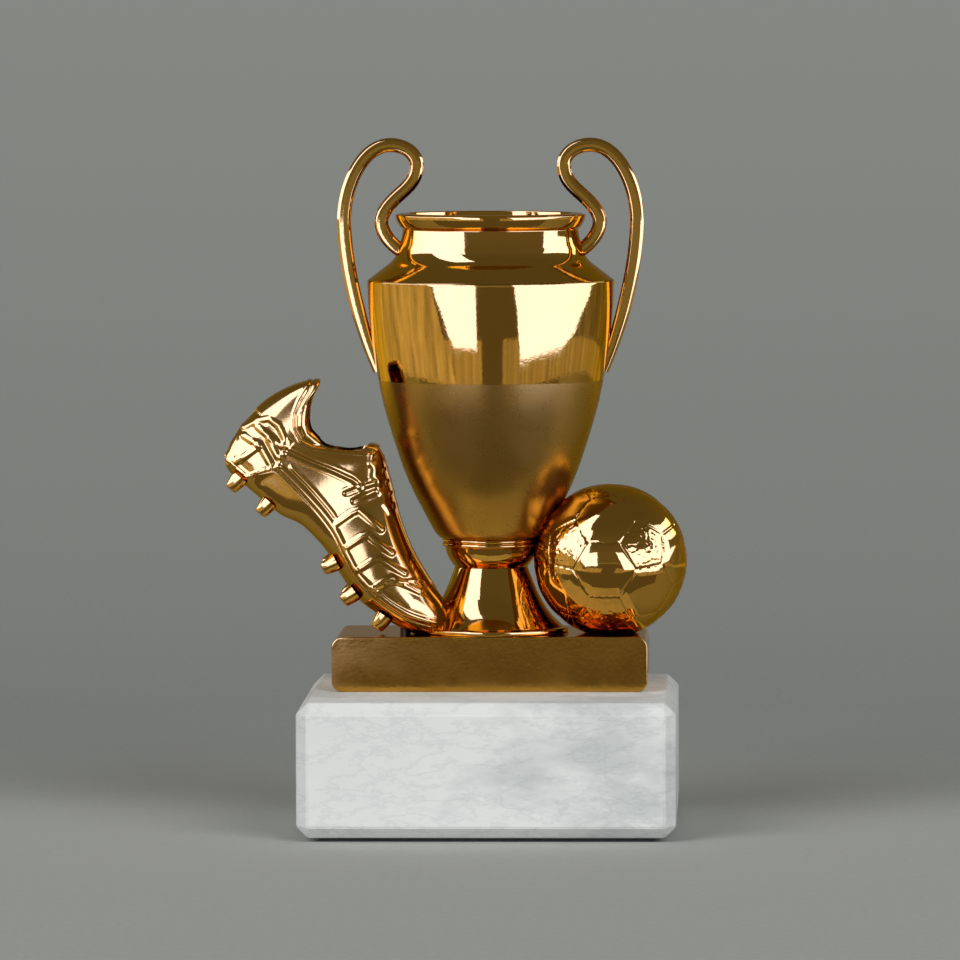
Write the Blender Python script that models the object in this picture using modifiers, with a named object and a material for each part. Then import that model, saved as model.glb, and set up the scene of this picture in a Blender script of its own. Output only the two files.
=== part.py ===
"""Figure trophy: a two-handled cup, a football boot and a ball on a plinth, bolted to a marble block.

Metres, +Z up, the front faces -Y. The origin is the middle of the felt pad's underside,
on the axis of the tie rod that holds the marble, the plinth and the cup together.
"""

import math

import bmesh
import bpy
from mathutils import Matrix, Vector

MM = 0.001
GAP = 0.3 * MM  # clearance between neighbouring pieces
ROUND_STEPS = 32  # facets round the cup's pieces
MERGE = 0.01 * MM

# Base block and pad
PAD_SIDE = 62 * MM
PAD_T = 0.5 * MM
BASE_SIDE = 70 * MM
BASE_T = 25 * MM
BASE_CHAMFER = 2.1 * MM
BASE_FORWARD = 5.0 * MM  # the block's middle is this far in front of the rod's axis
BASE_Z0 = PAD_T + GAP
BASE_Z1 = BASE_Z0 + BASE_T
COUNTERBORE_R = 10 * MM
COUNTERBORE_DEPTH = 8 * MM

# Tie rod, nuts and washers (M5)
ROD_R = 2.5 * MM
BORE_R = ROD_R + GAP
NUT_FLATS = 8 * MM
NUT_T = 4 * MM
WASHER_T = 1.0 * MM
BASE_WASHER_R = 8 * MM
BOWL_WASHER_R = 5 * MM
ROD_END = 1.2 * MM  # how far the rod stands out of each nut

# Plinth
PLINTH_W = 59.0 * MM
PLINTH_D = 29.4 * MM
PLINTH_H = 10 * MM
PLINTH_CORNER = 2.0 * MM
PLINTH_WALL = 2.2 * MM
PLINTH_TOP_T = 1.8 * MM
PLINTH_BOSS_R = 5.5 * MM
PLINTH_RIB_T = 1.4 * MM
PLINTH_RIB_X = 12 * MM  # a rib on each side of the boss
PLINTH_Z0 = BASE_Z1 + GAP
PLINTH_Z1 = PLINTH_Z0 + PLINTH_H

# Cup, from the foot up
FOOT_Z0 = PLINTH_Z1 + GAP
FOOT_RING_R = 14.5 * MM
FOOT_RING_H = 0.9 * MM
FOOT_WALL = 1.7 * MM
STEM_R = 6.8 * MM
STEM_Z = 48.4 * MM
COLLAR_R = 9.2 * MM
COLLAR_Z1 = 53.8 * MM
COLLAR_H = 1.6 * MM
BOWL_Z0 = COLLAR_Z1 + GAP
BOWL_BOTTOM_R = 9.5 * MM
BOWL_FLOOR_Z = 57.5 * MM
SHOULDER_R = 23.2 * MM
SHOULDER_Z = 102.2 * MM
CUP_WALL = 1.5 * MM
NECK_FOOT_R = 17.6 * MM
NECK_FOOT_Z = 106.5 * MM
NECK_R = 16.5 * MM
NECK_Z1 = 111.9 * MM
RIM_R = 17.9 * MM
RIM_UNDER_R = 16.9 * MM
RIM_UNDER_Z = 112.2 * MM
CUP_Z1 = 114.8 * MM
SPIGOT_H = 3 * MM

# Handles
HANDLE_R = 1.35 * MM
PEG_R = 0.6 * MM
PEG_UPPER_Z = 108.9 * MM
PEG_LOWER_Z = 88.6 * MM

# Ball
BALL_R = 14.4 * MM
BALL_WALL = 1.5 * MM
BALL_AT = Vector((22.45, -3.0, 49.7)) * MM
BALL_BOSS_R = 2.2 * MM
BALL_BOSS_H = 9 * MM
BALL_SCREW_BACK = 3.6 * MM  # the screw stands this far behind the ball's centre

# Boot. Its own axes: x from heel to toe, y across, z from the sole to the opening.
BOOT_AT = Vector((-49.5, -5.5, 66.5)) * MM
BOOT_PITCH = math.radians(40)
BOOT_YAW = math.radians(1.5)
BOOT_WALL = 1.4 * MM
STUD_TIP_R = 1.2 * MM
STUD_ROOT_R = 1.6 * MM
STUD_H = 2.0 * MM
STUD_ROOT_DEPTH = 0.5 * MM
STUD_X = [2.6 * MM, 9.8 * MM, 26.2 * MM, 32.6 * MM, 40.0 * MM]
STUD_INSET = 2.5 * MM
TONGUE_X = (18.7 * MM, 39.6 * MM)
TONGUE_T = 1.1 * MM
TONGUE_HALF_W = 2.8 * MM
BOOT_SCREW_AT = Vector((-16.0, -5.5, 0)) * MM

# Screws that hold the boot and the ball to the plinth
SCREW_R = 1.0 * MM
SCREW_HEAD_R = 1.9 * MM
SCREW_HEAD_T = 1.2 * MM
SCREW_L = 8.5 * MM


def start_scene():
    """Removes what the scene holds and returns the collections for parts and for cutters."""
    for old in list(bpy.data.objects):
        bpy.data.objects.remove(old)
    made = []
    for name in ("figure_trophy", "cutters"):
        group = bpy.data.collections.new(name)
        bpy.context.scene.collection.children.link(group)
        made.append(group)
    return made


PARTS, CUTTERS = start_scene()


def finish(name, colour, metallic, roughness):
    """A plain Principled material."""
    made = bpy.data.materials.new(name)
    made.use_nodes = True
    shader = made.node_tree.nodes["Principled BSDF"]
    shader.inputs["Base Color"].default_value = (*colour, 1.0)
    shader.inputs["Metallic"].default_value = metallic
    shader.inputs["Roughness"].default_value = roughness
    return made


GOLD = finish("gold_metallised", (0.83, 0.56, 0.18), 1.0, 0.12)
MARBLE = finish("white_marble", (0.86, 0.87, 0.86), 0.0, 0.25)
STEEL = finish("zinc_plated_steel", (0.62, 0.64, 0.66), 1.0, 0.35)
FELT = finish("grey_felt", (0.12, 0.13, 0.12), 0.0, 0.95)


def add(name, mesh, material=None):
    """Puts a mesh in the scene: a part if it has a material, else a cutter."""
    made = bpy.data.objects.new(name, mesh)
    if material:
        mesh.materials.append(material)
        PARTS.objects.link(made)
    else:
        CUTTERS.objects.link(made)
        made.hide_render = True
        made.display_type = "WIRE"
    return made


def from_bmesh(name, bm, material=None):
    bmesh.ops.recalc_face_normals(bm, faces=bm.faces)
    mesh = bpy.data.meshes.new(name)
    bm.to_mesh(mesh)
    bm.free()
    mesh.shade_smooth()
    mesh.set_sharp_from_angle(angle=math.radians(35))
    return add(name, mesh, material)


def block(name, low, high, material=None, chamfer=0.0):
    """A box between two corners, with chamfered edges if asked."""
    low, high = Vector(low), Vector(high)
    bm = bmesh.new()
    bmesh.ops.create_cube(bm, size=1.0)
    bmesh.ops.scale(bm, vec=high - low, verts=bm.verts)
    bmesh.ops.translate(bm, vec=(high + low) / 2, verts=bm.verts)
    made = from_bmesh(name, bm, material)
    if chamfer:
        bevel = made.modifiers.new("chamfer", "BEVEL")
        bevel.width = chamfer
        bevel.segments = 1
    return made


def cone(name, r0, r1, start, end, sides, material=None):
    """A cylinder or cone from one point to another, with r0 at the start and r1 at the end."""
    start, end = Vector(start), Vector(end)
    along = end - start
    bm = bmesh.new()
    bmesh.ops.create_cone(
        bm, cap_ends=True, segments=sides, radius1=r0, radius2=r1, depth=along.length
    )
    turn = along.to_track_quat("Z", "Y").to_matrix().to_4x4()
    bmesh.ops.transform(bm, matrix=Matrix.Translation((start + end) / 2) @ turn, verts=bm.verts)
    return from_bmesh(name, bm, material)


def post(name, radius, x, y, z0, z1, sides=24, material=None):
    return cone(name, radius, radius, (x, y, z0), (x, y, z1), sides, material)


def turned(name, profile, material=None, steps=ROUND_STEPS, ring=True):
    """Turns a profile of (radius, height) points, running down its outer side, about Z.

    A ring's profile closes on itself; any other starts and ends on the axis.
    """
    count = len(profile)
    edges = [(i, i + 1) for i in range(count - 1)]
    if ring:
        edges.append((count - 1, 0))
    mesh = bpy.data.meshes.new(name)
    mesh.from_pydata([(r, 0, z) for r, z in profile], edges, [])
    made = add(name, mesh, material)
    screw = made.modifiers.new("turn", "SCREW")
    screw.steps = steps
    screw.render_steps = steps
    screw.use_merge_vertices = True
    screw.merge_threshold = MERGE
    screw.use_smooth_shade = True
    return made


def evaluated_mesh(source, name, material=None):
    """Replaces a curve by a mesh object of the same shape, with its caps welded."""
    bpy.context.view_layer.update()
    graph = bpy.context.evaluated_depsgraph_get()
    mesh = bpy.data.meshes.new_from_object(source.evaluated_get(graph))
    bm = bmesh.new()
    bm.from_mesh(mesh)
    bmesh.ops.remove_doubles(bm, verts=bm.verts, dist=MERGE)
    made = from_bmesh(name, bm, material)
    made.matrix_world = source.matrix_world
    bpy.data.objects.remove(source)
    return made


def prism(name, outline, y0, y1, material=None):
    """A flat outline of (x, z) points, as thick as y0 to y1."""
    curve = bpy.data.curves.new(name + "_outline", "CURVE")
    curve.dimensions = "2D"
    curve.fill_mode = "BOTH"
    curve.extrude = (y1 - y0) / 2
    spline = curve.splines.new("POLY")
    spline.points.add(len(outline) - 1)
    for point, (x, z) in zip(spline.points, outline):
        point.co = (x, z, 0, 1)
    spline.use_cyclic_u = True
    flat = bpy.data.objects.new(name + "_outline", curve)
    CUTTERS.objects.link(flat)
    flat.matrix_world = Matrix.Translation((0, (y0 + y1) / 2, 0)) @ Matrix.Rotation(
        math.radians(90), 4, "X"
    )
    made = evaluated_mesh(flat, name, material)
    made.data.transform(made.matrix_world)
    made.matrix_world = Matrix.Identity(4)
    return made


def boolean(target, tool, operation):
    step = target.modifiers.new(operation.lower() + "_" + tool.name, "BOOLEAN")
    step.operation = operation
    step.solver = "EXACT"
    step.object = tool


def cut(target, *tools):
    for tool in tools:
        boolean(target, tool, "DIFFERENCE")


def join(target, *tools):
    for tool in tools:
        boolean(target, tool, "UNION")


def smooth_curve(points):
    """A monotone-friendly cubic through (x, y) points, as a function of x."""
    xs = [p[0] for p in points]
    ys = [p[1] for p in points]
    slopes = [(ys[i + 1] - ys[i]) / (xs[i + 1] - xs[i]) for i in range(len(xs) - 1)]
    tangents = [slopes[0]]
    for before, after in zip(slopes, slopes[1:]):
        turning = before * after <= 0
        tangents.append(0.0 if turning else 2 * before * after / (before + after))
    tangents.append(slopes[-1])

    def value(x):
        x = min(max(x, xs[0]), xs[-1])
        i = max(k for k in range(len(xs) - 1) if xs[k] <= x)
        width = xs[i + 1] - xs[i]
        t = (x - xs[i]) / width
        rise = ys[i + 1] - ys[i]
        a = tangents[i] * width - rise
        b = rise - tangents[i + 1] * width
        return ys[i] + t * rise + t * (1 - t) * (a * (1 - t) + b * t)

    return value


# ---------------------------------------------------------------- base and fasteners


def felt_pad():
    made = block(
        "felt_pad",
        (-PAD_SIDE / 2, -PAD_SIDE / 2 - BASE_FORWARD, 0),
        (PAD_SIDE / 2, PAD_SIDE / 2 - BASE_FORWARD, PAD_T),
        FELT,
    )
    return made


def marble_base():
    half = BASE_SIDE / 2
    made = block(
        "marble_base",
        (-half, -half - BASE_FORWARD, BASE_Z0),
        (half, half - BASE_FORWARD, BASE_Z1),
        MARBLE,
        BASE_CHAMFER,
    )
    past = 2 * MM
    bore = post("rod_hole_cutter", BORE_R, 0, 0, BASE_Z0 - past, BASE_Z1 + past)
    pocket = post(
        "counterbore_cutter", COUNTERBORE_R, 0, 0, BASE_Z0 - past, BASE_Z0 + COUNTERBORE_DEPTH, 32
    )
    cut(made, bore, pocket)
    return made


def washer(name, radius, z0):
    profile = [(radius, z0 + WASHER_T), (radius, z0), (BORE_R, z0), (BORE_R, z0 + WASHER_T)]
    return turned(name, profile, STEEL, steps=24)


def hex_nut(name, z0):
    corner_r = NUT_FLATS / 2 / math.cos(math.radians(30))
    made = post(name, corner_r, 0, 0, z0, z0 + NUT_T, 6, STEEL)
    past = MM
    cut(made, post(name + "_hole_cutter", BORE_R, 0, 0, z0 - past, z0 + NUT_T + past))
    return made


def tie_rod(z0, z1):
    chamfer = 0.6 * MM
    core = ROD_R - chamfer
    profile = [(0, z1), (core, z1), (ROD_R, z1 - chamfer), (ROD_R, z0 + chamfer), (core, z0), (0, z0)]
    return turned("tie_rod", profile, STEEL, steps=24, ring=False)


def rod_stack():
    """The rod, with a washer and a nut in the marble's counterbore and in the cup's bowl."""
    base_washer_z = BASE_Z0 + COUNTERBORE_DEPTH - GAP - WASHER_T
    base_nut_z = base_washer_z - GAP - NUT_T
    bowl_washer_z = BOWL_FLOOR_Z + GAP
    bowl_nut_z = bowl_washer_z + WASHER_T + GAP
    washer("base_washer", BASE_WASHER_R, base_washer_z)
    hex_nut("base_nut", base_nut_z)
    washer("bowl_washer", BOWL_WASHER_R, bowl_washer_z)
    hex_nut("bowl_nut", bowl_nut_z)
    tie_rod(base_nut_z - ROD_END, bowl_nut_z + NUT_T + ROD_END)


def small_screw(name, x, y):
    """A pan-head screw that goes up through the plinth's top from inside."""
    head_z = PLINTH_Z1 - PLINTH_TOP_T - GAP
    tip_z = head_z + SCREW_L
    tip_r = 0.3 * MM
    tip_l = 1.2 * MM
    profile = [
        (0, tip_z),
        (tip_r, tip_z),
        (SCREW_R, tip_z - tip_l),
        (SCREW_R, head_z),
        (SCREW_HEAD_R, head_z),
        (SCREW_HEAD_R, head_z - SCREW_HEAD_T * 0.5),
        (SCREW_HEAD_R * 0.7, head_z - SCREW_HEAD_T),
        (0, head_z - SCREW_HEAD_T),
    ]
    made = turned(name, profile, STEEL, steps=16, ring=False)
    made.location = (x, y, 0)
    return made


# ---------------------------------------------------------------- plinth


def rounded_rectangle(x0, x1, z0, z1, radius, facets=5):
    """The outline's points, corner by corner."""
    corners = [(x1, z1, 0), (x0, z1, 90), (x0, z0, 180), (x1, z0, 270)]
    points = []
    for x, z, first in corners:
        centre_x = x - math.copysign(radius, x - (x0 + x1) / 2)
        centre_z = z - math.copysign(radius, z - (z0 + z1) / 2)
        for k in range(facets + 1):
            angle = math.radians(first + 90 * k / facets)
            points.append((centre_x + radius * math.cos(angle), centre_z + radius * math.sin(angle)))
    return points


def plinth(screw_places):
    half_w, half_d = PLINTH_W / 2, PLINTH_D / 2
    outline = rounded_rectangle(-half_w, half_w, PLINTH_Z0, PLINTH_Z1, PLINTH_CORNER)
    made = prism("plinth_shell", outline, -half_d, half_d, GOLD)
    past = 2 * MM
    inner_w, inner_d = half_w - PLINTH_WALL, half_d - PLINTH_WALL
    under_z = PLINTH_Z1 - PLINTH_TOP_T
    hollow = block(
        "plinth_hollow_cutter", (-inner_w, -inner_d, PLINTH_Z0 - past), (inner_w, inner_d, under_z)
    )
    overlap = 0.5 * MM
    rib_z = PLINTH_Z0 + 0.5 * MM
    ribs = []
    for x in (-PLINTH_RIB_X, PLINTH_RIB_X):
        low = (x - PLINTH_RIB_T / 2, -inner_d - overlap, rib_z)
        high = (x + PLINTH_RIB_T / 2, inner_d + overlap, under_z + overlap)
        ribs.append(block(f"plinth_rib_{len(ribs)}", low, high))
    boss = post("plinth_boss", PLINTH_BOSS_R, 0, 0, PLINTH_Z0, under_z + overlap, 32)
    bore = post("plinth_bore_cutter", BORE_R, 0, 0, PLINTH_Z0 - past, PLINTH_Z1 + past)
    cut(made, hollow)
    join(made, boss, *ribs)
    cut(made, bore)
    for i, (x, y) in enumerate(screw_places):
        cut(made, post(f"plinth_screw_hole_{i}", SCREW_R + GAP, x, y, under_z - past, PLINTH_Z1 + past, 16))
    return made


# ---------------------------------------------------------------- cup


def in_mm(points):
    return [(x * MM, z * MM) for x, z in points]


# The bowl's outside as (height, radius): a rounded bottom, a nearly straight side, an upright shoulder.
BOWL_SIDE = in_mm([
    (53.8, 9.5), (54.3, 10.1), (55.2, 10.75), (57.1, 11.8), (59.0, 12.8), (60.8, 13.75), (62.7, 14.7),
    (65.0, 15.7), (67.4, 16.65), (70.2, 17.6), (74.0, 18.8), (79.6, 20.35), (86.0, 21.6), (93.0, 22.6),
    (99.2, 23.1), (102.2, 23.2),
])
bowl_radius = smooth_curve(BOWL_SIDE)
# The levels of the bowl's rings, closer together at its bottom.
BOWL_LEVELS = [z * MM for z in (102.2, 98, 93, 88, 83, 78, 73.5, 69, 65, 61, 58, 55.6, 54.6, 54.1)]
# Where the neck rounds into the shoulder, as (radius, height).
NECK_FILLET = in_mm([(17.2, 108.5), (17.6, 107.3), (18.3, 106.2), (19.2, 105.3)])


def foot_radius(z):
    drop = (STEM_Z - z) / (STEM_Z - PLINTH_Z1 - FOOT_RING_H)
    return STEM_R + 4.4 * MM * drop + 2.6 * MM * drop**4


def spaced(start, end, count):
    return [start + (end - start) * i / (count - 1) for i in range(count)]


def cup_foot():
    ring_z = PLINTH_Z1 + FOOT_RING_H
    web_z = 44.5 * MM
    outer = [(foot_radius(z), z) for z in spaced(STEM_Z, ring_z, 9)]
    ring = [(FOOT_RING_R, ring_z), (FOOT_RING_R, FOOT_Z0)]
    inner = [(foot_radius(z) - FOOT_WALL, z) for z in spaced(FOOT_Z0 + MM, web_z, 5)]
    inner = [(FOOT_RING_R - FOOT_WALL, FOOT_Z0)] + inner
    bore = [(BORE_R, web_z), (BORE_R, STEM_Z)]
    return turned("cup_foot", outer + ring + inner + bore, GOLD)


def cup_collar():
    """Two narrow beads over a short cone, between the foot's stem and the bowl."""
    bead = COLLAR_H / 2
    z1, z0 = COLLAR_Z1, STEM_Z + GAP
    groove_r = COLLAR_R - 0.2 * MM
    profile = [
        (groove_r, z1),
        (COLLAR_R, z1 - bead * 0.5),
        (groove_r, z1 - bead),
        (COLLAR_R, z1 - bead * 1.5),
        (groove_r, z1 - bead * 2),
        (COLLAR_R - 0.7 * MM, z1 - 2.6 * MM),
        (COLLAR_R - 1.5 * MM, z1 - 3.9 * MM),
        (STEM_R + 0.1 * MM, z0),
        (BORE_R, z0),
        (BORE_R, z1),
    ]
    return turned("cup_collar", profile, GOLD)


def cup_bowl():
    outer = [(bowl_radius(z), z) for z in BOWL_LEVELS]
    inner = [(bowl_radius(z) - CUP_WALL, z) for z in spaced(BOWL_FLOOR_Z + 3 * MM, SHOULDER_Z, 7)]
    floor = [(BORE_R, BOWL_Z0), (BORE_R, BOWL_FLOOR_Z), (BOWL_BOTTOM_R - CUP_WALL, BOWL_FLOOR_Z)]
    return turned("cup_bowl", outer + floor + inner, GOLD)


def cup_neck():
    """The lip, the neck and the shoulder, with a spigot that centres them in the bowl."""
    seat_z = SHOULDER_Z + GAP
    spigot_r = SHOULDER_R - CUP_WALL - GAP
    lip = 0.3 * MM
    wall = CUP_WALL
    profile = [
        (RIM_R - 1.0 * MM, CUP_Z1),
        (RIM_R, CUP_Z1 - lip),
        (RIM_R - 0.2 * MM, CUP_Z1 - 1.6 * MM),
        (RIM_UNDER_R, RIM_UNDER_Z),
        (NECK_R, NECK_Z1),
        (NECK_R + 0.3 * MM, NECK_Z1 - 1.6 * MM),
        *NECK_FILLET,
        (SHOULDER_R, seat_z),
        (spigot_r, seat_z),
        (spigot_r, seat_z - SPIGOT_H),
        (spigot_r - wall, seat_z - SPIGOT_H),
        (spigot_r - wall, seat_z + 0.2 * MM),
        (NECK_FOOT_R - wall, NECK_FOOT_Z - 0.8 * MM),
        (NECK_R - wall, NECK_Z1 - 3.4 * MM),
        (NECK_R - wall, NECK_Z1),
        (RIM_R - 1.0 * MM - wall, CUP_Z1),
    ]
    return turned("cup_neck", profile, GOLD)


def cup_clearance():
    """The cup's outside, one gap larger all round, which trims whatever stands against it."""
    neck = [(RIM_R, CUP_Z1 + GAP), (RIM_UNDER_R, RIM_UNDER_Z), (NECK_R, NECK_Z1)]
    neck += NECK_FILLET + [(SHOULDER_R, SHOULDER_Z + GAP)]
    body = [(bowl_radius(z), z) for z in BOWL_LEVELS[1:]]
    stem = [(COLLAR_R, COLLAR_Z1 - 2 * MM), (STEM_R, STEM_Z)]
    foot = [(foot_radius(z), z) for z in spaced(STEM_Z - MM, PLINTH_Z1 + FOOT_RING_H + MM, 7)]
    foot += [(FOOT_RING_R, PLINTH_Z1 + FOOT_RING_H + GAP), (FOOT_RING_R, PLINTH_Z0)]
    side = [(r + GAP, z) for r, z in neck + body + stem + foot]
    profile = [(0, CUP_Z1 + GAP)] + side + [(0, PLINTH_Z0)]
    return turned("cup_clearance_cutter", profile, steps=48, ring=False)


# Each node of the handle's line: where it is, and its two Bezier handles, in mm in the XZ plane.
HANDLE_LINE = [
    ((-16.4, 107.6), (-15.6, 107.2), (-18.4, 108.6)),
    ((-20.5, 113.2), (-20.5, 110.9), (-20.5, 115.2)),
    ((-16.9, 118.5), (-18.4, 117.2), (-15.2, 120.0)),
    ((-13.8, 123.7), (-13.8, 121.4), (-13.8, 126.1)),
    ((-18.8, 127.6), (-16.2, 127.6), (-24.2, 127.6)),
    ((-27.5, 113.6), (-27.5, 119.6), (-27.5, 105.0)),
    ((-21.1, 85.2), (-24.4, 93.0), (-20.5, 83.5)),
]


def handle(name, side, trimmer):
    """A bar bent in a hook from the neck, over the rim and down to the bowl's side.

    side is -1 for the left one and 1 for the right one.
    """
    curve = bpy.data.curves.new(name + "_line", "CURVE")
    curve.dimensions = "3D"
    curve.resolution_u = 7
    curve.bevel_depth = HANDLE_R
    curve.bevel_resolution = 1
    curve.use_fill_caps = True
    spline = curve.splines.new("BEZIER")
    spline.bezier_points.add(len(HANDLE_LINE) - 1)
    for node, places in zip(spline.bezier_points, HANDLE_LINE):
        node.handle_left_type = "FREE"
        node.handle_right_type = "FREE"
        at, before, after = (Vector((-side * x * MM, 0, z * MM)) for x, z in places)
        node.co, node.handle_left, node.handle_right = at, before, after
    line = bpy.data.objects.new(name + "_line", curve)
    CUTTERS.objects.link(line)
    made = evaluated_mesh(line, name, GOLD)
    cut(made, trimmer)
    root = 0.9 * MM
    for level, surface_r, z in (
        ("upper", NECK_R + 0.6 * MM, PEG_UPPER_Z),
        ("lower", bowl_radius(PEG_LOWER_Z), PEG_LOWER_Z),
    ):
        start = side * (surface_r + root)
        end = side * (surface_r - CUP_WALL + GAP)
        peg = cone(f"{name}_{level}_peg", PEG_R, PEG_R, (start, 0, z), (end, 0, z), 12)
        join(made, peg)
    return made


def peg_sockets(neck, bowl):
    """Round holes in the neck and the bowl for the handles' pegs."""
    reach = 3 * MM
    for side in (-1, 1):
        for piece, surface_r, z in (
            (neck, NECK_R + 0.6 * MM, PEG_UPPER_Z),
            (bowl, bowl_radius(PEG_LOWER_Z), PEG_LOWER_Z),
        ):
            start = (side * (surface_r + reach), 0, z)
            end = (side * (surface_r - reach), 0, z)
            cut(piece, cone(f"{piece.name}_socket_{side + 1}", PEG_R + GAP, PEG_R + GAP, start, end, 12))


# ---------------------------------------------------------------- ball


def ball_half(name, facing):
    """Half of the hollow ball. facing is -1 for the front half and 1 for the rear one."""
    inner_r = BALL_R - BALL_WALL
    arc = [math.radians(90 * k / 8) for k in range(9)]
    seam = GAP / 2
    outer = [(BALL_R * math.sin(a), max(BALL_R * math.cos(a), seam)) for a in arc]
    inner = [(inner_r * math.sin(a), max(inner_r * math.cos(a), seam)) for a in reversed(arc)]
    outer[0] = (0, BALL_R)
    inner[-1] = (0, inner_r)
    made = turned(name, outer + inner, GOLD, steps=28, ring=False)
    turn = Matrix.Rotation(math.radians(-90 * facing), 4, "X")
    made.matrix_world = Matrix.Translation(BALL_AT) @ turn
    return made


def ball(trimmer):
    front = ball_half("ball_front_half", -1)
    rear = ball_half("ball_rear_half", 1)
    x, y = BALL_AT.x, BALL_AT.y + BALL_SCREW_BACK
    low = BALL_AT.z - BALL_R
    boss = post("ball_boss", BALL_BOSS_R, x, y, low + 1.6 * MM, low + BALL_BOSS_H)
    join(rear, boss)
    rest = block(
        "ball_rest_cutter",
        BALL_AT - Vector((BALL_R, BALL_R, 2 * BALL_R)),
        (BALL_AT.x + BALL_R, BALL_AT.y + BALL_R, PLINTH_Z1 + GAP),
    )
    hole = post("ball_screw_hole", SCREW_R + GAP, x, y, low - MM, low + BALL_BOSS_H + MM, 16)
    cut(front, rest, trimmer)
    cut(rear, rest, trimmer, hole)
    return x, y


# ---------------------------------------------------------------- boot


# Side outlines of the boot in its own axes, from heel to toe.
BOOT_TOP = smooth_curve(in_mm([
    (-3.8, 9.5), (-3.5, 13.4), (-2.8, 16.6), (-0.2, 22.0), (2.0, 24.4), (2.7, 24.3),
    (3.3, 21.9), (4.4, 19.6), (5.9, 17.6), (7.5, 16.6), (9.6, 16.4), (13.8, 18.4),
    (18.9, 22.0), (19.9, 21.7), (24.7, 18.7), (30.9, 14.3), (36.4, 11.3), (42.8, 9.0),
    (47.2, 7.6), (50.2, 5.8), (51.2, 3.6),
]))
BOOT_BOTTOM = smooth_curve(in_mm([
    (-3.8, 8.0), (-3.3, 4.6), (-2.2, 2.1), (-0.6, 0.6), (1.5, 0.2), (12.2, 0.2),
    (17.5, 1.3), (22.7, 0.8), (28.5, -1.1), (34.7, -2.6), (40.0, -2.2), (45.0, -1.3),
    (49.0, 0.6), (50.8, 2.5), (51.2, 3.3),
]))
BOOT_HALF_WIDTH = smooth_curve(in_mm([
    (-3.8, 0.6), (-3.3, 2.9), (-2.0, 4.7), (0.5, 6.0), (5.0, 6.6), (14.0, 6.3),
    (20.0, 6.7), (28.0, 8.6), (36.0, 9.5), (42.0, 8.9), (46.5, 7.3), (49.5, 4.9),
    (50.8, 2.6), (51.2, 0.6),
]))
# Where the outsole ends and the upper begins.
SOLE_LINE = smooth_curve(in_mm([
    (-5.0, 2.2), (-1.0, 1.6), (3.0, 1.5), (5.1, 4.6), (7.2, 6.8), (10.2, 6.6), (15.8, 5.9),
    (21.7, 4.7), (27.5, 2.3), (31.7, 0.8), (37.7, 0.4), (42.1, 0.9), (46.9, 2.5), (53.0, 5.5),
]))
# How square the section is above its widest line: about 2 is round, and 5 is nearly upright walls.
BOOT_SQUARE_TOP = smooth_curve([(x * MM, n) for x, n in ((-4, 2.4), (1, 5.0), (17, 5.0), (24, 2.3), (52, 2.0))])
BOOT_X = [-3.8, -3.5, -3.0, -2.2, -1.0, 0.5, 2.0, 2.7, 3.3, 4.4, 6.0, 8.0, 10.5, 13.5, 16.5, 18.9, 21.5]
BOOT_X += [24.5, 28.0, 31.5, 35.0, 38.5, 41.5, 44.0, 46.3, 48.2, 49.6, 50.5, 51.0, 51.2]
HOLLOW_X = [0.2, 1.2, 2.3, 3.1, 4.5, 7.0, 11.0, 14.5, 16.8, 17.6, 19.0, 22.0, 26.0, 31.0, 36.0, 41.0]
HEEL_TAB_X = 2.6 * MM  # the opening runs from the heel tab's tip to the throat
THROAT_X = 17.2 * MM
SQUARE_BOTTOM = 3.0
WIDEST_AT = 0.33  # share of the section's height at which it is widest


def section(x, top, bottom, half_width, square_top, points=20):
    """A closed section across the boot at x: a superellipse, flatter below than above."""
    middle = bottom + WIDEST_AT * (top - bottom)
    ring = []
    for k in range(points):
        angle = 2 * math.pi * (k + 0.5) / points
        c, s = math.cos(angle), math.sin(angle)
        power = 2 / (square_top if s > 0 else SQUARE_BOTTOM)
        reach = top - middle if s > 0 else middle - bottom
        y = half_width * math.copysign(abs(c) ** power, c)
        z = middle + reach * math.copysign(abs(s) ** power, s)
        ring.append(Vector((x, y, z)))
    return ring


def loft(name, rings):
    """A closed skin over rings of equal length."""
    bm = bmesh.new()
    rows = [[bm.verts.new(p) for p in ring] for ring in rings]
    count = len(rings[0])
    for near, far in zip(rows, rows[1:]):
        for k in range(count):
            following = (k + 1) % count
            bm.faces.new((near[k], near[following], far[following], far[k]))
    bm.faces.new(list(reversed(rows[0])))
    bm.faces.new(rows[-1])
    return from_bmesh(name, bm)


def boot_body():
    rings = []
    for x in (station * MM for station in BOOT_X):
        rings.append(section(x, BOOT_TOP(x), BOOT_BOTTOM(x), BOOT_HALF_WIDTH(x), BOOT_SQUARE_TOP(x)))
    return loft("boot_body", rings)


def boot_hollow():
    """The space for the foot, open at the top between the heel and the tongue."""
    rings = []
    open_z = 28 * MM
    for x in (station * MM for station in HOLLOW_X):
        floor = max(SOLE_LINE(x), BOOT_BOTTOM(x) + BOOT_WALL) + BOOT_WALL
        is_open = HEEL_TAB_X < x < THROAT_X
        if is_open:
            top = open_z
        elif x < HEEL_TAB_X:
            top = BOOT_TOP(x - BOOT_WALL) - GAP
        else:
            top = BOOT_TOP(x) - TONGUE_T - GAP - BOOT_WALL
        half_width = BOOT_HALF_WIDTH(x) - BOOT_WALL - 0.3 * MM
        if x < MM:
            half_width *= 0.75
        rings.append(section(x, top, floor, half_width, 6.0 if is_open else BOOT_SQUARE_TOP(x), 16))
    return loft("boot_hollow_cutter", rings)


def along_boot(line, x0, x1, step=1.7 * MM):
    count = max(2, round((x1 - x0) / step) + 1)
    return [(x, line(x)) for x in spaced(x0, x1, count)]


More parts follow.
